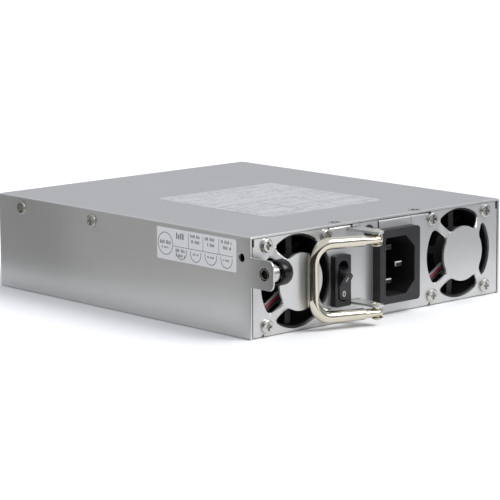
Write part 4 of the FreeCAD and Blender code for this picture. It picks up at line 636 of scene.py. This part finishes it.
def bent_rod(settings):
    """The rod is drawn lying along X from the upper pin, then turned to the folded angle."""
    low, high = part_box("handle_rod")
    pivot = Vector(JOINTS["handle_fold"]["pos_m"])
    radius, bend = settings.rod_radius, settings.bend_radius
    top, bottom = high.z - CAD_ROD_RADIUS, low.z + CAD_ROD_RADIUS
    grip = Vector((low.x + CAD_ROD_RADIUS, high.y - CAD_ROD_RADIUS, 0))
    arm = math.hypot(pivot.x - grip.x, grip.y - pivot.y) + GRIP_REACH
    turn = math.atan2(grip.y - pivot.y, pivot.x - grip.x)
    bpy.ops.mesh.primitive_circle_add(vertices=settings.sides, radius=radius, location=(0, 0, top),
                                      rotation=(0, math.radians(90), 0))
    rod = started("handle_bow")
    apply_place(rod)
    bpy.ops.object.mode_set(mode="EDIT")
    flat, taper, flat_thick = 5.25 * MM, 1.2 * MM, 3.6 * MM
    squeeze = flat_thick / (2 * radius)
    bpy.ops.mesh.select_all(action="SELECT")
    bpy.ops.transform.resize(value=(1, 1, squeeze), center_override=(0, 0, top))
    draw_out(-flat)
    draw_out(-taper, 1 / squeeze, top)
    draw_out(-(arm - bend - flat - taper))
    bpy.ops.mesh.spin(steps=settings.bend_steps, angle=math.radians(90), axis=(0, 1, 0),
                      center=(-arm + bend, 0, top - bend))
    draw_down(-(top - bottom - 2 * bend))
    bpy.ops.mesh.spin(steps=settings.bend_steps, angle=math.radians(90), axis=(0, 1, 0),
                      center=(-arm + bend, 0, bottom + bend))
    draw_out(arm - bend - flat - taper)
    draw_out(taper, squeeze, bottom)
    draw_out(flat)
    round_end(rod, radius, bottom)
    pick(rod, "verts", lambda v: abs(v.co.x) < 1e-6 and v.co.z > (top + bottom) / 2)
    round_end(rod, radius, top)
    bpy.ops.mesh.select_all(action="SELECT")
    bpy.ops.mesh.remove_doubles(threshold=0.001 * MM)
    bpy.ops.mesh.normals_make_consistent(inside=False)
    bpy.ops.object.mode_set(mode="OBJECT")
    rod.rotation_euler = (0, 0, -turn)
    rod.location = (pivot.x, pivot.y, 0)
    apply_place(rod)
    for level in (top, bottom):
        bore(rod, (pivot.x, pivot.y, level), PIN_HOLE_RADIUS, 8 * MM)
    smooth(rod, 40)
    return rod


def draw_out(distance, squeeze=None, level=0.0):
    """Extrude the selected ring along X, and squeeze or widen its new end in height about a level."""
    bpy.ops.mesh.extrude_region_move(TRANSFORM_OT_translate={"value": (distance, 0, 0)})
    if squeeze:
        bpy.ops.transform.resize(value=(1, 1, squeeze), center_override=(0, 0, level))


def draw_down(distance):
    bpy.ops.mesh.extrude_region_move(TRANSFORM_OT_translate={"value": (0, 0, distance)})


def round_end(rod, radius, level):
    """Close the selected ring with a rounded end, as wide steps that narrow across the rod."""
    steps, quarter = 6, math.radians(82)
    last = 1.0
    for step in range(1, steps + 1):
        angle = quarter * step / steps
        before = quarter * (step - 1) / steps
        width = math.cos(angle)
        bpy.ops.mesh.extrude_region_move(TRANSFORM_OT_translate={
            "value": (radius * (math.sin(angle) - math.sin(before)), 0, 0)})
        bpy.ops.transform.resize(value=(1, width / last, 1), center_override=(0, 0, level))
        last = width
    bpy.ops.mesh.edge_face_add()


def bore(piece, centre, radius, depth):
    """Cut an upright hole with a cylinder that is then removed."""
    bpy.ops.mesh.primitive_cylinder_add(vertices=32, radius=radius, depth=depth, location=centre)
    cutter = started("bore_cutter")
    apply_place(cutter)
    apply_modifier(piece, "BOOLEAN", operation="DIFFERENCE", solver="EXACT", object=cutter)
    bpy.data.objects.remove(cutter)


# ------------------------------------------------------------------- labels

class PSU_OT_labels(Operator):
    """Cut the two labels from film and lay the side label's printed lines on it"""
    bl_idname = "psu.labels"
    bl_label = "Labels"

    def execute(self, context):
        settings = context.scene.psu_labels
        top_film = label_film("silver_polyester_film", "#BDBCBB", "#8C8D92", 2.9, 0)
        side_film = label_film("white_polyester_film", "#DADADA", "#BEBEC0", 60.0, 1, 0.0)
        top = top_label_sheet(settings.corner_radius)
        paint(top, top_film)
        place_piece(top, "root", slot_of("top_label"), "top_label")
        side = side_label_sheet()
        paint(side, side_film)
        place_piece(side, "root", slot_of("side_label"), "side_label")
        lines = side_print(settings.line_width)
        paint(lines, printing_ink("black_printing_ink", "#76777B", "#4C4D51", "#77787C", 0.5))
        place_piece(lines, "root", slot_of("side_label"))
        table = top_print(settings.line_width)
        paint(table, printing_ink("grey_printing_ink", "#95969C", "#88898F", "#A4A5AB", 0.6))
        place_piece(table, "root", slot_of("top_label"))
        return {"FINISHED"}


def top_label_sheet(radius):
    """A thin plate with rounded corners, its upper rim softened, as much lower as the print is thick."""
    low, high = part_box("top_label")
    high.z -= PRINT_THICK
    size = high - low
    bpy.ops.mesh.primitive_cube_add(size=1, location=(low + high) / 2, scale=size)
    piece = started("top_label_film")
    apply_place(piece)
    bpy.ops.object.mode_set(mode="EDIT")
    pick(piece, "edges", lambda e: abs(e.verts[0].co.z - e.verts[1].co.z) > size.z / 2)
    bpy.ops.mesh.bevel(offset=radius, segments=8)
    pick(piece, "edges", lambda e: all(v.co.z > high.z - TOUCH for v in e.verts)
         and any(abs(f.normal.z) < 0.5 for f in e.link_faces))
    bpy.ops.mesh.bevel(offset=0.05 * MM, segments=2)
    bpy.ops.object.mode_set(mode="OBJECT")
    return piece


def side_label_sheet():
    """A thin plate, its outer rim softened."""
    low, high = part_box("side_label")
    size = high - low
    bpy.ops.mesh.primitive_cube_add(size=1, location=(low + high) / 2, scale=size)
    piece = started("side_label_film")
    apply_place(piece)
    bpy.ops.object.mode_set(mode="EDIT")
    pick(piece, "edges", lambda e: abs(e.verts[0].co.x - e.verts[1].co.x) > size.x / 2)
    bpy.ops.mesh.bevel(offset=0.6 * MM, segments=4)
    pick(piece, "edges", lambda e: all(v.co.x < low.x + TOUCH for v in e.verts)
         and any(abs(f.normal.x) < 0.5 for f in e.link_faces))
    bpy.ops.mesh.bevel(offset=0.04 * MM, segments=2)
    bpy.ops.object.mode_set(mode="OBJECT")
    return piece


PRINT_THICK = 0.03 * MM


def side_bar(y0, y1, z0, z1):
    """One printed stroke on the side label, from the rear end (y) and the lower edge (z), in mm."""
    low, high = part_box("side_label")
    size = Vector((PRINT_THICK, (y1 - y0) * MM, (z1 - z0) * MM))
    centre = Vector((low.x - PRINT_THICK / 2, high.y - (y0 + y1) / 2 * MM, low.z + (z0 + z1) / 2 * MM))
    bpy.ops.mesh.primitive_cube_add(size=1, location=centre, scale=size)
    bar = started("stroke")
    apply_place(bar)
    return bar


def side_ring(y, z, radius, line, start=0.0, sweep=360.0):
    """A printed ring, or an arc of one, spun from a short stroke."""
    low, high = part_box("side_label")
    centre = Vector((low.x - PRINT_THICK / 2, high.y - y * MM, low.z + z * MM))
    bpy.ops.mesh.primitive_plane_add(size=1, location=centre + Vector((0, 0, radius * MM)))
    ring = started("ring_stroke")
    ring.rotation_euler = (math.radians(90), 0, 0)
    ring.scale = (PRINT_THICK, line, 1)
    apply_place(ring)
    bpy.ops.object.mode_set(mode="EDIT")
    bpy.ops.mesh.select_all(action="SELECT")
    bpy.ops.transform.rotate(value=math.radians(start), orient_axis="X", center_override=centre)
    bpy.ops.mesh.spin(steps=max(8, int(sweep / 9)), angle=math.radians(sweep), axis=(1, 0, 0), center=centre)
    bpy.ops.mesh.select_all(action="SELECT")
    bpy.ops.mesh.remove_doubles(threshold=0.001 * MM)
    bpy.ops.mesh.normals_make_consistent(inside=False)
    bpy.ops.object.mode_set(mode="OBJECT")
    return ring


def side_words(y0, y1, z, tall, pitch, seed):
    """A row of small upright ticks that stands for a line of print, with a gap now and then."""
    ticks = []
    y = y0
    count = seed
    while y < y1 - pitch / 2:
        if count % 5 != 4:
            drop = 0.25 * tall * (count % 3 == 1)
            ticks.append(side_bar(y, y + 0.55 * pitch, z, z + tall - drop))
        y += pitch
        count += 1
    return ticks


def side_print(line):
    """A ring at the rear end, and four cells with two lines of small print over a cup-shaped outline."""
    low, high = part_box("side_label")
    tall = (high.z - low.z) / MM
    wide = (high.y - low.y) / MM
    thin = line / MM
    cells = (10.5, 19.4, 28.1, 37.6, wide - 1.2)
    middle = tall * 0.45
    strokes = [side_ring(5.3, tall / 2, 4.5, line)]
    strokes += side_words(2.0, 8.8, tall / 2 - 0.2, 1.5, 0.75, 0)
    strokes += side_words(3.0, 7.8, tall / 2 - 1.9, 0.7, 0.55, 2)
    for y in cells[1:-1]:
        strokes.append(side_bar(y, y + 0.7 * thin, middle, tall - 0.9))
    y = cells[0]
    while y < cells[-1] - 1.2:
        strokes.append(side_bar(y, y + 1.25, middle, middle + thin))
        y += 1.7
    strokes += side_words(cells[0] + 1.5, cells[1] - 2.0, tall - 3.9, 2.5, 1.25, 0)
    strokes += side_words(cells[0] + 1.2, cells[1] - 1.8, middle - 2.0, 1.3, 0.8, 1)
    strokes += side_words(cells[0] + 1.2, cells[1] - 2.2, middle - 4.0, 1.3, 0.7, 3)
    for index, (start, end) in enumerate(zip(cells[1:], cells[2:])):
        strokes += side_words(start + 1.3, end - 1.3 - index % 2, tall - 2.4, 1.3, 0.72, index)
        strokes += side_words(start + 1.8 + index % 2, end - 1.6, tall - 4.6, 1.3, 0.72, index + 2)
        strokes += side_words(start + 2.6, end - 2.6, middle - 2.2, 0.8, 0.6, index + 1)
    for start, end in zip(cells, cells[1:]):
        strokes += side_cup((start + end) / 2, (end - start) / 2 - 1.1, 0.9, middle - 0.7, line)
    return joined(strokes, "side_label_print")


def side_cup(y, radius, low_z, high_z, line):
    """An outline like a cup: two sides and a round foot."""
    thin = line / MM
    foot = low_z + radius
    sides = [side_bar(y - radius, y - radius + thin, foot, high_z),
             side_bar(y + radius - thin, y + radius, foot, high_z)]
    return sides + [side_ring(y, foot, radius - thin / 2, line, 90.0, 180.0)]


def top_bar(x0, x1, y0, y1):
    low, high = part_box("top_label")
    centre = Vector((low.x + (x0 + x1) / 2 * MM, low.y + (y0 + y1) / 2 * MM, high.z - PRINT_THICK / 2))
    size = Vector(((x1 - x0) * MM, (y1 - y0) * MM, PRINT_THICK))
    bpy.ops.mesh.primitive_cube_add(size=1, location=centre, scale=size)
    bar = started("stroke")
    apply_place(bar)
    return bar


def top_print(line):
    """The ruled table of the top label."""
    low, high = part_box("top_label")
    wide = (high.x - low.x) / MM
    deep = (high.y - low.y) / MM
    thin = line / MM
    bars = []
    for y in (4.0, 15.6, 24.3, 33.0, deep - 5.0):
        bars.append(top_bar(4.0, wide - 4.0, y, y + thin))
    for x in (4.0, 24.0, 44.0, wide - 4.0):
        bars.append(top_bar(x, x + thin, 4.0, 33.0))
    return joined(bars, "top_label_print")


# ------------------------------------------------------------ switch and inlet

class PSU_OT_switch(Operator):
    """Finish the rocker switch and print its on and off marks"""
    bl_idname = "psu.switch"
    bl_label = "Rocker Switch"

    def execute(self, context):
        bezel = moulded_plastic("black_nylon_bezel", "#1B1B1D", 0.42)
        rocker = moulded_plastic("black_glossy_rocker", "#161618", 0.28)
        finish_node("switch_body", bezel)
        finish_node("switch_rocker", rocker)
        finish_node("switch_terminals", plated_metal("tinned_brass", "#C9C6BC", 0.3))
        marks = joined([off_mark(), on_mark()], "rocker_marks")
        paint(marks, moulded_plastic("white_pad_print", "#D9D9D6", 0.5, dust=0.0))
        smooth(marks)
        place_piece(marks, "rocker", slot_of("switch_rocker"))
        return {"FINISHED"}


ROCKER_VALLEY = 6.3 * MM
ROCKER_LEAN = math.radians(17.0)


def rocker_face(side, distance):
    """A point on the pressed lower face (-1) or the raised upper face (1), and the face's slope."""
    pivot = Vector(JOINTS["rocker_tilt"]["pos_m"])
    slope = 2 * ROCKER_LEAN if side > 0 else 0.0
    out = ROCKER_VALLEY * math.cos(ROCKER_LEAN) + distance * math.sin(slope)
    up = -ROCKER_VALLEY * math.sin(ROCKER_LEAN) + side * distance * math.cos(slope)
    return pivot + Vector((0, -out, up)), slope


def off_mark():
    """A raised ring on the lower face."""
    centre, slope = rocker_face(-1, 3.3 * MM)
    bpy.ops.mesh.primitive_circle_add(vertices=36, radius=1.0 * MM, location=centre,
                                      rotation=(math.radians(90), 0, 0), fill_type="NGON")
    mark = started("off_mark")
    mark.scale = (0.8, 1.15, 1)
    apply_place(mark)
    bpy.ops.object.mode_set(mode="EDIT")
    pick(mark, "faces", lambda f: True)
    bpy.ops.mesh.inset(thickness=0.30 * MM)
    bpy.ops.mesh.delete(type="FACE")
    bpy.ops.object.mode_set(mode="OBJECT")
    apply_modifier(mark, "SOLIDIFY", thickness=0.06 * MM, offset=0.0)
    return mark


def on_mark():
    """A raised bar on the upper face."""
    centre, slope = rocker_face(1, 3.1 * MM)
    bpy.ops.mesh.primitive_cube_add(size=1, location=centre, scale=(0.38 * MM, 0.06 * MM, 2.4 * MM),
                                    rotation=(slope, 0, 0))
    mark = started("on_mark")
    apply_place(mark)
    apply_modifier(mark, "BEVEL", width=0.02 * MM, segments=2)
    return mark


class PSU_OT_inlet(Operator):
    """Finish the mains inlet and its pins"""
    bl_idname = "psu.inlet"
    bl_label = "Mains Inlet"

    def execute(self, context):
        finish_node("inlet_body", moulded_plastic("black_polyamide_inlet", "#151517", 0.46, spark=0.8))
        finish_node("inlet_pins", contact_pins())
        finish_node("light_holder", moulded_plastic("black_light_holder", "#151517", 0.35))
        finish_node("status_light", moulded_plastic("smoked_lens", "#2A2C2A", 0.12, dust=0.0))
        return {"FINISHED"}


def contact_pins():
    """Nickel-plated brass pins: painted dark all over as painted shade, the shade of the dark inlet round
    them, and painted bright on the chamfers of their tips as a painted highlight."""
    # Painted shade for the pins' bodies, and a painted highlight for their tips' chamfers.
    pin_painted_shade, pin_painted_glint = linear("#3B3A37"), linear("#E4E2DC")
    material, shader, where = new_material("dulled_nickel_pins", pin_painted_shade, 1.0, 0.36)
    surface = add_node(material, "ShaderNodeNewGeometry")
    axes = add_node(material, "ShaderNodeSeparateXYZ", links={"Vector": (surface, "True Normal")})
    # Painted highlight: the chamfers, which lean between the pin's end, which faces -1 along Y, and its
    # sides, at 0, are painted bright.
    glint_mask = add_node(material, "ShaderNodeMath", {"operation": "COMPARE"}, {1: -0.6, 2: 0.35},
                      {0: (axes, "Y")})
    # Wiping marks, 0.4 mm across.
    marks = add_node(material, "ShaderNodeTexNoise", inputs={"Scale": 1 / (0.4 * MM), "Detail": 2.0},
                     links={"Vector": (where, "Object")})
    # The painted highlight on the chamfers, over the painted shade of the rest.
    tint = add_node(material, "ShaderNodeMix", COLOURS, {FIRST: pin_painted_shade, SECOND: pin_painted_glint},
                    {"Factor": (glint_mask, "Value")})
    rough = add_node(material, "ShaderNodeMapRange", None, limits(0.28, 0.44), {"Value": (marks, "Fac")})
    plug(material, tint, MIXED, shader, "Base Color")
    plug(material, rough, "Result", shader, "Roughness")
    return material


# ------------------------------------------------------------- captive screw

class PSU_OT_captive_screw(Operator):
    """Finish the captive screw and coil its spring"""
    bl_idname = "psu.captive_screw"
    bl_label = "Captive Screw"

    def execute(self, context):
        nickel = plated_metal("nickel_plated_ferrule", "#CFCCC4", 0.22, wear=2.0)
        finish_node("captive_washer", nickel)
        ferrule = edged_copy("captive_ferrule", 0.22 * MM)
        paint(ferrule, nickel)
        place_piece(ferrule, body_of("captive_ferrule"), slot_of("captive_ferrule"), "captive_ferrule")
        finish_node("captive_screw", plated_metal("dark_turned_steel", "#4A463F", 0.36, wear=1.5))
        knob = turned_knob()
        paint(knob, moulded_plastic("glossy_black_knob", "#070708", 0.2, dust=0.05, gloss=0.3))
        place_piece(knob, body_of("captive_knob"), slot_of("captive_knob"), "captive_knob")
        spring = coil_spring()
        paint(spring, plated_metal("spring_wire", "#B5B3AE", 0.25, wear=1.0))
        place_piece(spring, "root", slot_of("captive_spring"), "captive_spring")
        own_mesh(spring)
        return {"FINISHED"}


def turned(name, start, stations, sides=48):
    """A piece turned about the X axis: stations are steps of length and the radius each reaches (mm)."""
    length, radius = stations[0]
    bpy.ops.mesh.primitive_circle_add(vertices=sides, radius=radius * MM,
                                      location=start + Vector((length * MM, 0, 0)),
                                      rotation=(0, math.radians(90), 0), fill_type="NGON")
    piece = started(name)
    apply_place(piece)
    bpy.ops.object.mode_set(mode="EDIT")
    bpy.ops.mesh.select_all(action="SELECT")
    last = length
    for length, wider in stations[1:]:
        bpy.ops.mesh.extrude_region_move(TRANSFORM_OT_translate={"value": ((length - last) * MM, 0, 0)})
        centre = start + Vector((length * MM, 0, 0))
        bpy.ops.transform.resize(value=(1, wider / radius, wider / radius), center_override=centre)
        last, radius = length, wider
    bpy.ops.mesh.select_all(action="SELECT")
    bpy.ops.mesh.normals_make_consistent(inside=False)
    bpy.ops.object.mode_set(mode="OBJECT")
    return piece


def turned_knob():
    """The knob's barrel with its well-rounded outer end and a hollow mouth for the ferrule."""
    low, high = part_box("captive_knob")
    centre = (low + high) / 2
    start = Vector((low.x, centre.y, centre.z))
    full = (high.z - low.z) / 2 / MM
    long = (high.x - low.x) / MM
    dome = 3.4
    stations = [(4.9, full - 1.1), (0.3, full - 1.1), (0.0, full - 0.9), (0.12, full - 0.5),
                (0.5, full - 0.12), (1.2, full), (long - dome, full)]
    for step in range(1, 9):
        angle = math.radians(90) * step / 8
        stations.append((long - dome + dome * math.sin(angle), full - dome + dome * math.cos(angle)))
    knob = turned("captive_knob_turned", start, stations)
    smooth(knob, 50)
    return knob


def coil_spring():
    """A small circle of wire wound into a screw along the fastener's axis, its ends closed."""
    low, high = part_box("captive_spring")
    centre = (low + high) / 2
    wire = 0.3 * MM
    coil = (high.z - low.z) / 2 - wire
    turns = 6
    bpy.ops.mesh.primitive_circle_add(vertices=12, radius=wire, location=(0, 0, coil),
                                      rotation=(math.radians(90), 0, 0))
    spring = started("captive_coil")
    apply_place(spring)
    apply_modifier(spring, "SCREW", axis="X", iterations=turns, steps=24, render_steps=24,
                   screw_offset=(high.x - low.x - 2 * wire) / turns)
    bpy.ops.object.mode_set(mode="EDIT")
    bpy.ops.mesh.select_all(action="SELECT")
    bpy.ops.mesh.fill_holes(sides=12)
    bpy.ops.mesh.select_all(action="SELECT")
    bpy.ops.mesh.normals_make_consistent(inside=False)
    bpy.ops.object.mode_set(mode="OBJECT")
    spring.location = (low.x + wire, centre.y, centre.z)
    apply_place(spring)
    smooth(spring, 60)
    return spring


# --------------------------------------------------------------------- fans

class PSU_OT_fans(Operator):
    """Finish the fans and their leads"""
    bl_idname = "psu.fans"
    bl_label = "Fans"

    def execute(self, context):
        frame_plastic = moulded_plastic("black_fan_frame", "#09090A", 0.5, dust=0.05)
        blade_plastic = moulded_plastic("black_fan_blades", "#08080A", 0.36, dust=0.1)
        steel = plated_metal("ground_steel_shaft", "#A8A8A6", 0.25)
        bronze = plated_metal("sintered_bronze", "#8C6E48", 0.45)
        copper = plated_metal("enamelled_stator", "#6A4030", 0.4)
        for side in ("left", "right"):
            finish_node(side + "_fan_frame", frame_plastic)
            finish_node(side + "_fan_rotor", blade_plastic)
            finish_node(side + "_fan_shaft", steel)
        finish_node("fan_bearings", bronze)
        finish_node("fan_stators", copper)
        # The red and white leads are coloured darker than their insulation: painted shade, for the shade they
        # lie in inside the fan frames.
        for colour, hex_colour in (("black", "#141416"), ("red", "#9C1230"), ("white", "#8E8C8C")):
            sleeve = moulded_plastic(colour + "_pvc_insulation", hex_colour, 0.38, dust=0.3)
            finish_node("fan_%s_wires" % colour, sleeve)
        finish_node("fan_headers", moulded_plastic("ivory_nylon_header", "#D8D2BE", 0.45))
        return {"FINISHED"}


# ----------------------------------------------------------- small fasteners

class PSU_OT_fasteners(Operator):
    """Give the screws and standoffs their plated finish"""
    bl_idname = "psu.fasteners"
    bl_label = "Fasteners"

    def execute(self, context):
        nickel = plated_metal("nickel_plated_screw", "#CDCCC7", 0.27, wear=1.2)
        for node in ("fan_screws", "side_screws", "lid_screws", "inner_screws"):
            finish_node(node, nickel)
        finish_node("board_standoffs", plated_metal("brass_standoff", "#B99B5A", 0.3))
        return {"FINISHED"}


# -------------------------------------------------------------- inner parts

INNER_FINISHES = (
    ("main_board", "moulded", "green_solder_mask", "#1F4A2E", 0.35),
    ("control_board", "moulded", "green_solder_mask_upright", "#24553A", 0.35),
    ("insulating_sheet", "moulded", "clear_polyester_insulator", "#C9C9C2", 0.25),
    ("choke_cores", "moulded", "painted_ferrite", "#3E5A48", 0.5),
    ("choke_windings", "plated", "enamelled_copper_wire", "#8E4A24", 0.35),
    ("choke_bases", "moulded", "phenolic_base", "#2A2320", 0.5),
    ("film_capacitors", "moulded", "yellow_capacitor_box", "#B08A28", 0.4),
    ("disc_capacitors", "moulded", "blue_disc_coating", "#1D4B7A", 0.35),
    ("fuse_tube", "moulded", "ceramic_fuse_tube", "#CFCBC0", 0.35),
    ("fuse_clips", "plated", "tinned_clip", "#C2BFB6", 0.3),
    ("bridge_rectifier", "moulded", "black_epoxy_case", "#18181A", 0.5),
    ("bulk_capacitors", "moulded", "black_shrink_sleeve", "#1B1C22", 0.3),
    ("output_capacitors", "moulded", "brown_shrink_sleeve", "#2E2018", 0.3),
    ("heatsinks", "plated", "extruded_aluminium", "#B4B6B8", 0.42),
    ("power_semiconductors", "moulded", "black_epoxy_package", "#161618", 0.5),
    ("transformer_cores", "moulded", "bare_ferrite", "#2C2C2E", 0.55),
    ("transformer_coils", "moulded", "yellow_polyester_tape", "#B99A2C", 0.35),
    ("control_chips", "moulded", "black_epoxy_chip", "#141416", 0.5),
    ("connector_housing", "moulded", "black_glass_filled_nylon", "#171719", 0.45),
    ("connector_contacts", "plated", "gold_flashed_contact", "#C8A45A", 0.25),
    ("live_wires", "moulded", "brown_pvc_insulation", "#5A3420", 0.4),
    ("neutral_wire", "moulded", "blue_pvc_insulation", "#1E4C86", 0.4),
    ("earth_wire", "moulded", "green_pvc_insulation", "#2F6A34", 0.4),
    ("earth_stud", "plated", "zinc_plated_stud", "#B8BABC", 0.35),
)


class PSU_OT_inner_parts(Operator):
    """Give the board and what it carries their finishes"""
    bl_idname = "psu.inner_parts"
    bl_label = "Inner Parts"

    def execute(self, context):
        makers = {"moulded": moulded_plastic, "plated": plated_metal}
        for node, kind, name, colour, roughness in INNER_FINISHES:
            finish_node(node, makers[kind](name, colour, roughness))
        return {"FINISHED"}


# ------------------------------------------------------------------- add-on

class PSU_PT_panel(Panel):
    """Lists the pieces of the power supply"""
    bl_idname = "PSU_PT_panel"
    bl_label = "Power Supply"
    bl_space_type = "VIEW_3D"
    bl_region_type = "UI"
    bl_category = "Power Supply"

    def draw(self, context):
        for operator in OPERATORS:
            self.layout.operator(operator.bl_idname)
        for name in SETTINGS:
            group = getattr(context.scene, name)
            for field in group.__annotations__:
                self.layout.prop(group, field)


OPERATORS = (PSU_OT_stage, PSU_OT_inner_parts, PSU_OT_fasteners, PSU_OT_fans, PSU_OT_sheets, PSU_OT_handle,
             PSU_OT_labels, PSU_OT_switch, PSU_OT_inlet, PSU_OT_captive_screw)
SETTINGS = {"psu_stage": StageSettings, "psu_sheets": SheetSettings, "psu_handle": HandleSettings,
            "psu_labels": LabelSettings}
CLASSES = tuple(SETTINGS.values()) + OPERATORS + (PSU_PT_panel,)


def register():
    for item in CLASSES:
        bpy.utils.register_class(item)
    for name, group in SETTINGS.items():
        setattr(bpy.types.Scene, name, PointerProperty(type=group))


def unregister():
    for name in SETTINGS:
        delattr(bpy.types.Scene, name)
    for item in reversed(CLASSES):
        bpy.utils.unregister_class(item)


def main():
    register()
    for operator in OPERATORS:
        group, name = operator.bl_idname.split(".")
        getattr(getattr(bpy.ops, group), name)()


if __name__ == "__main__":
    main()
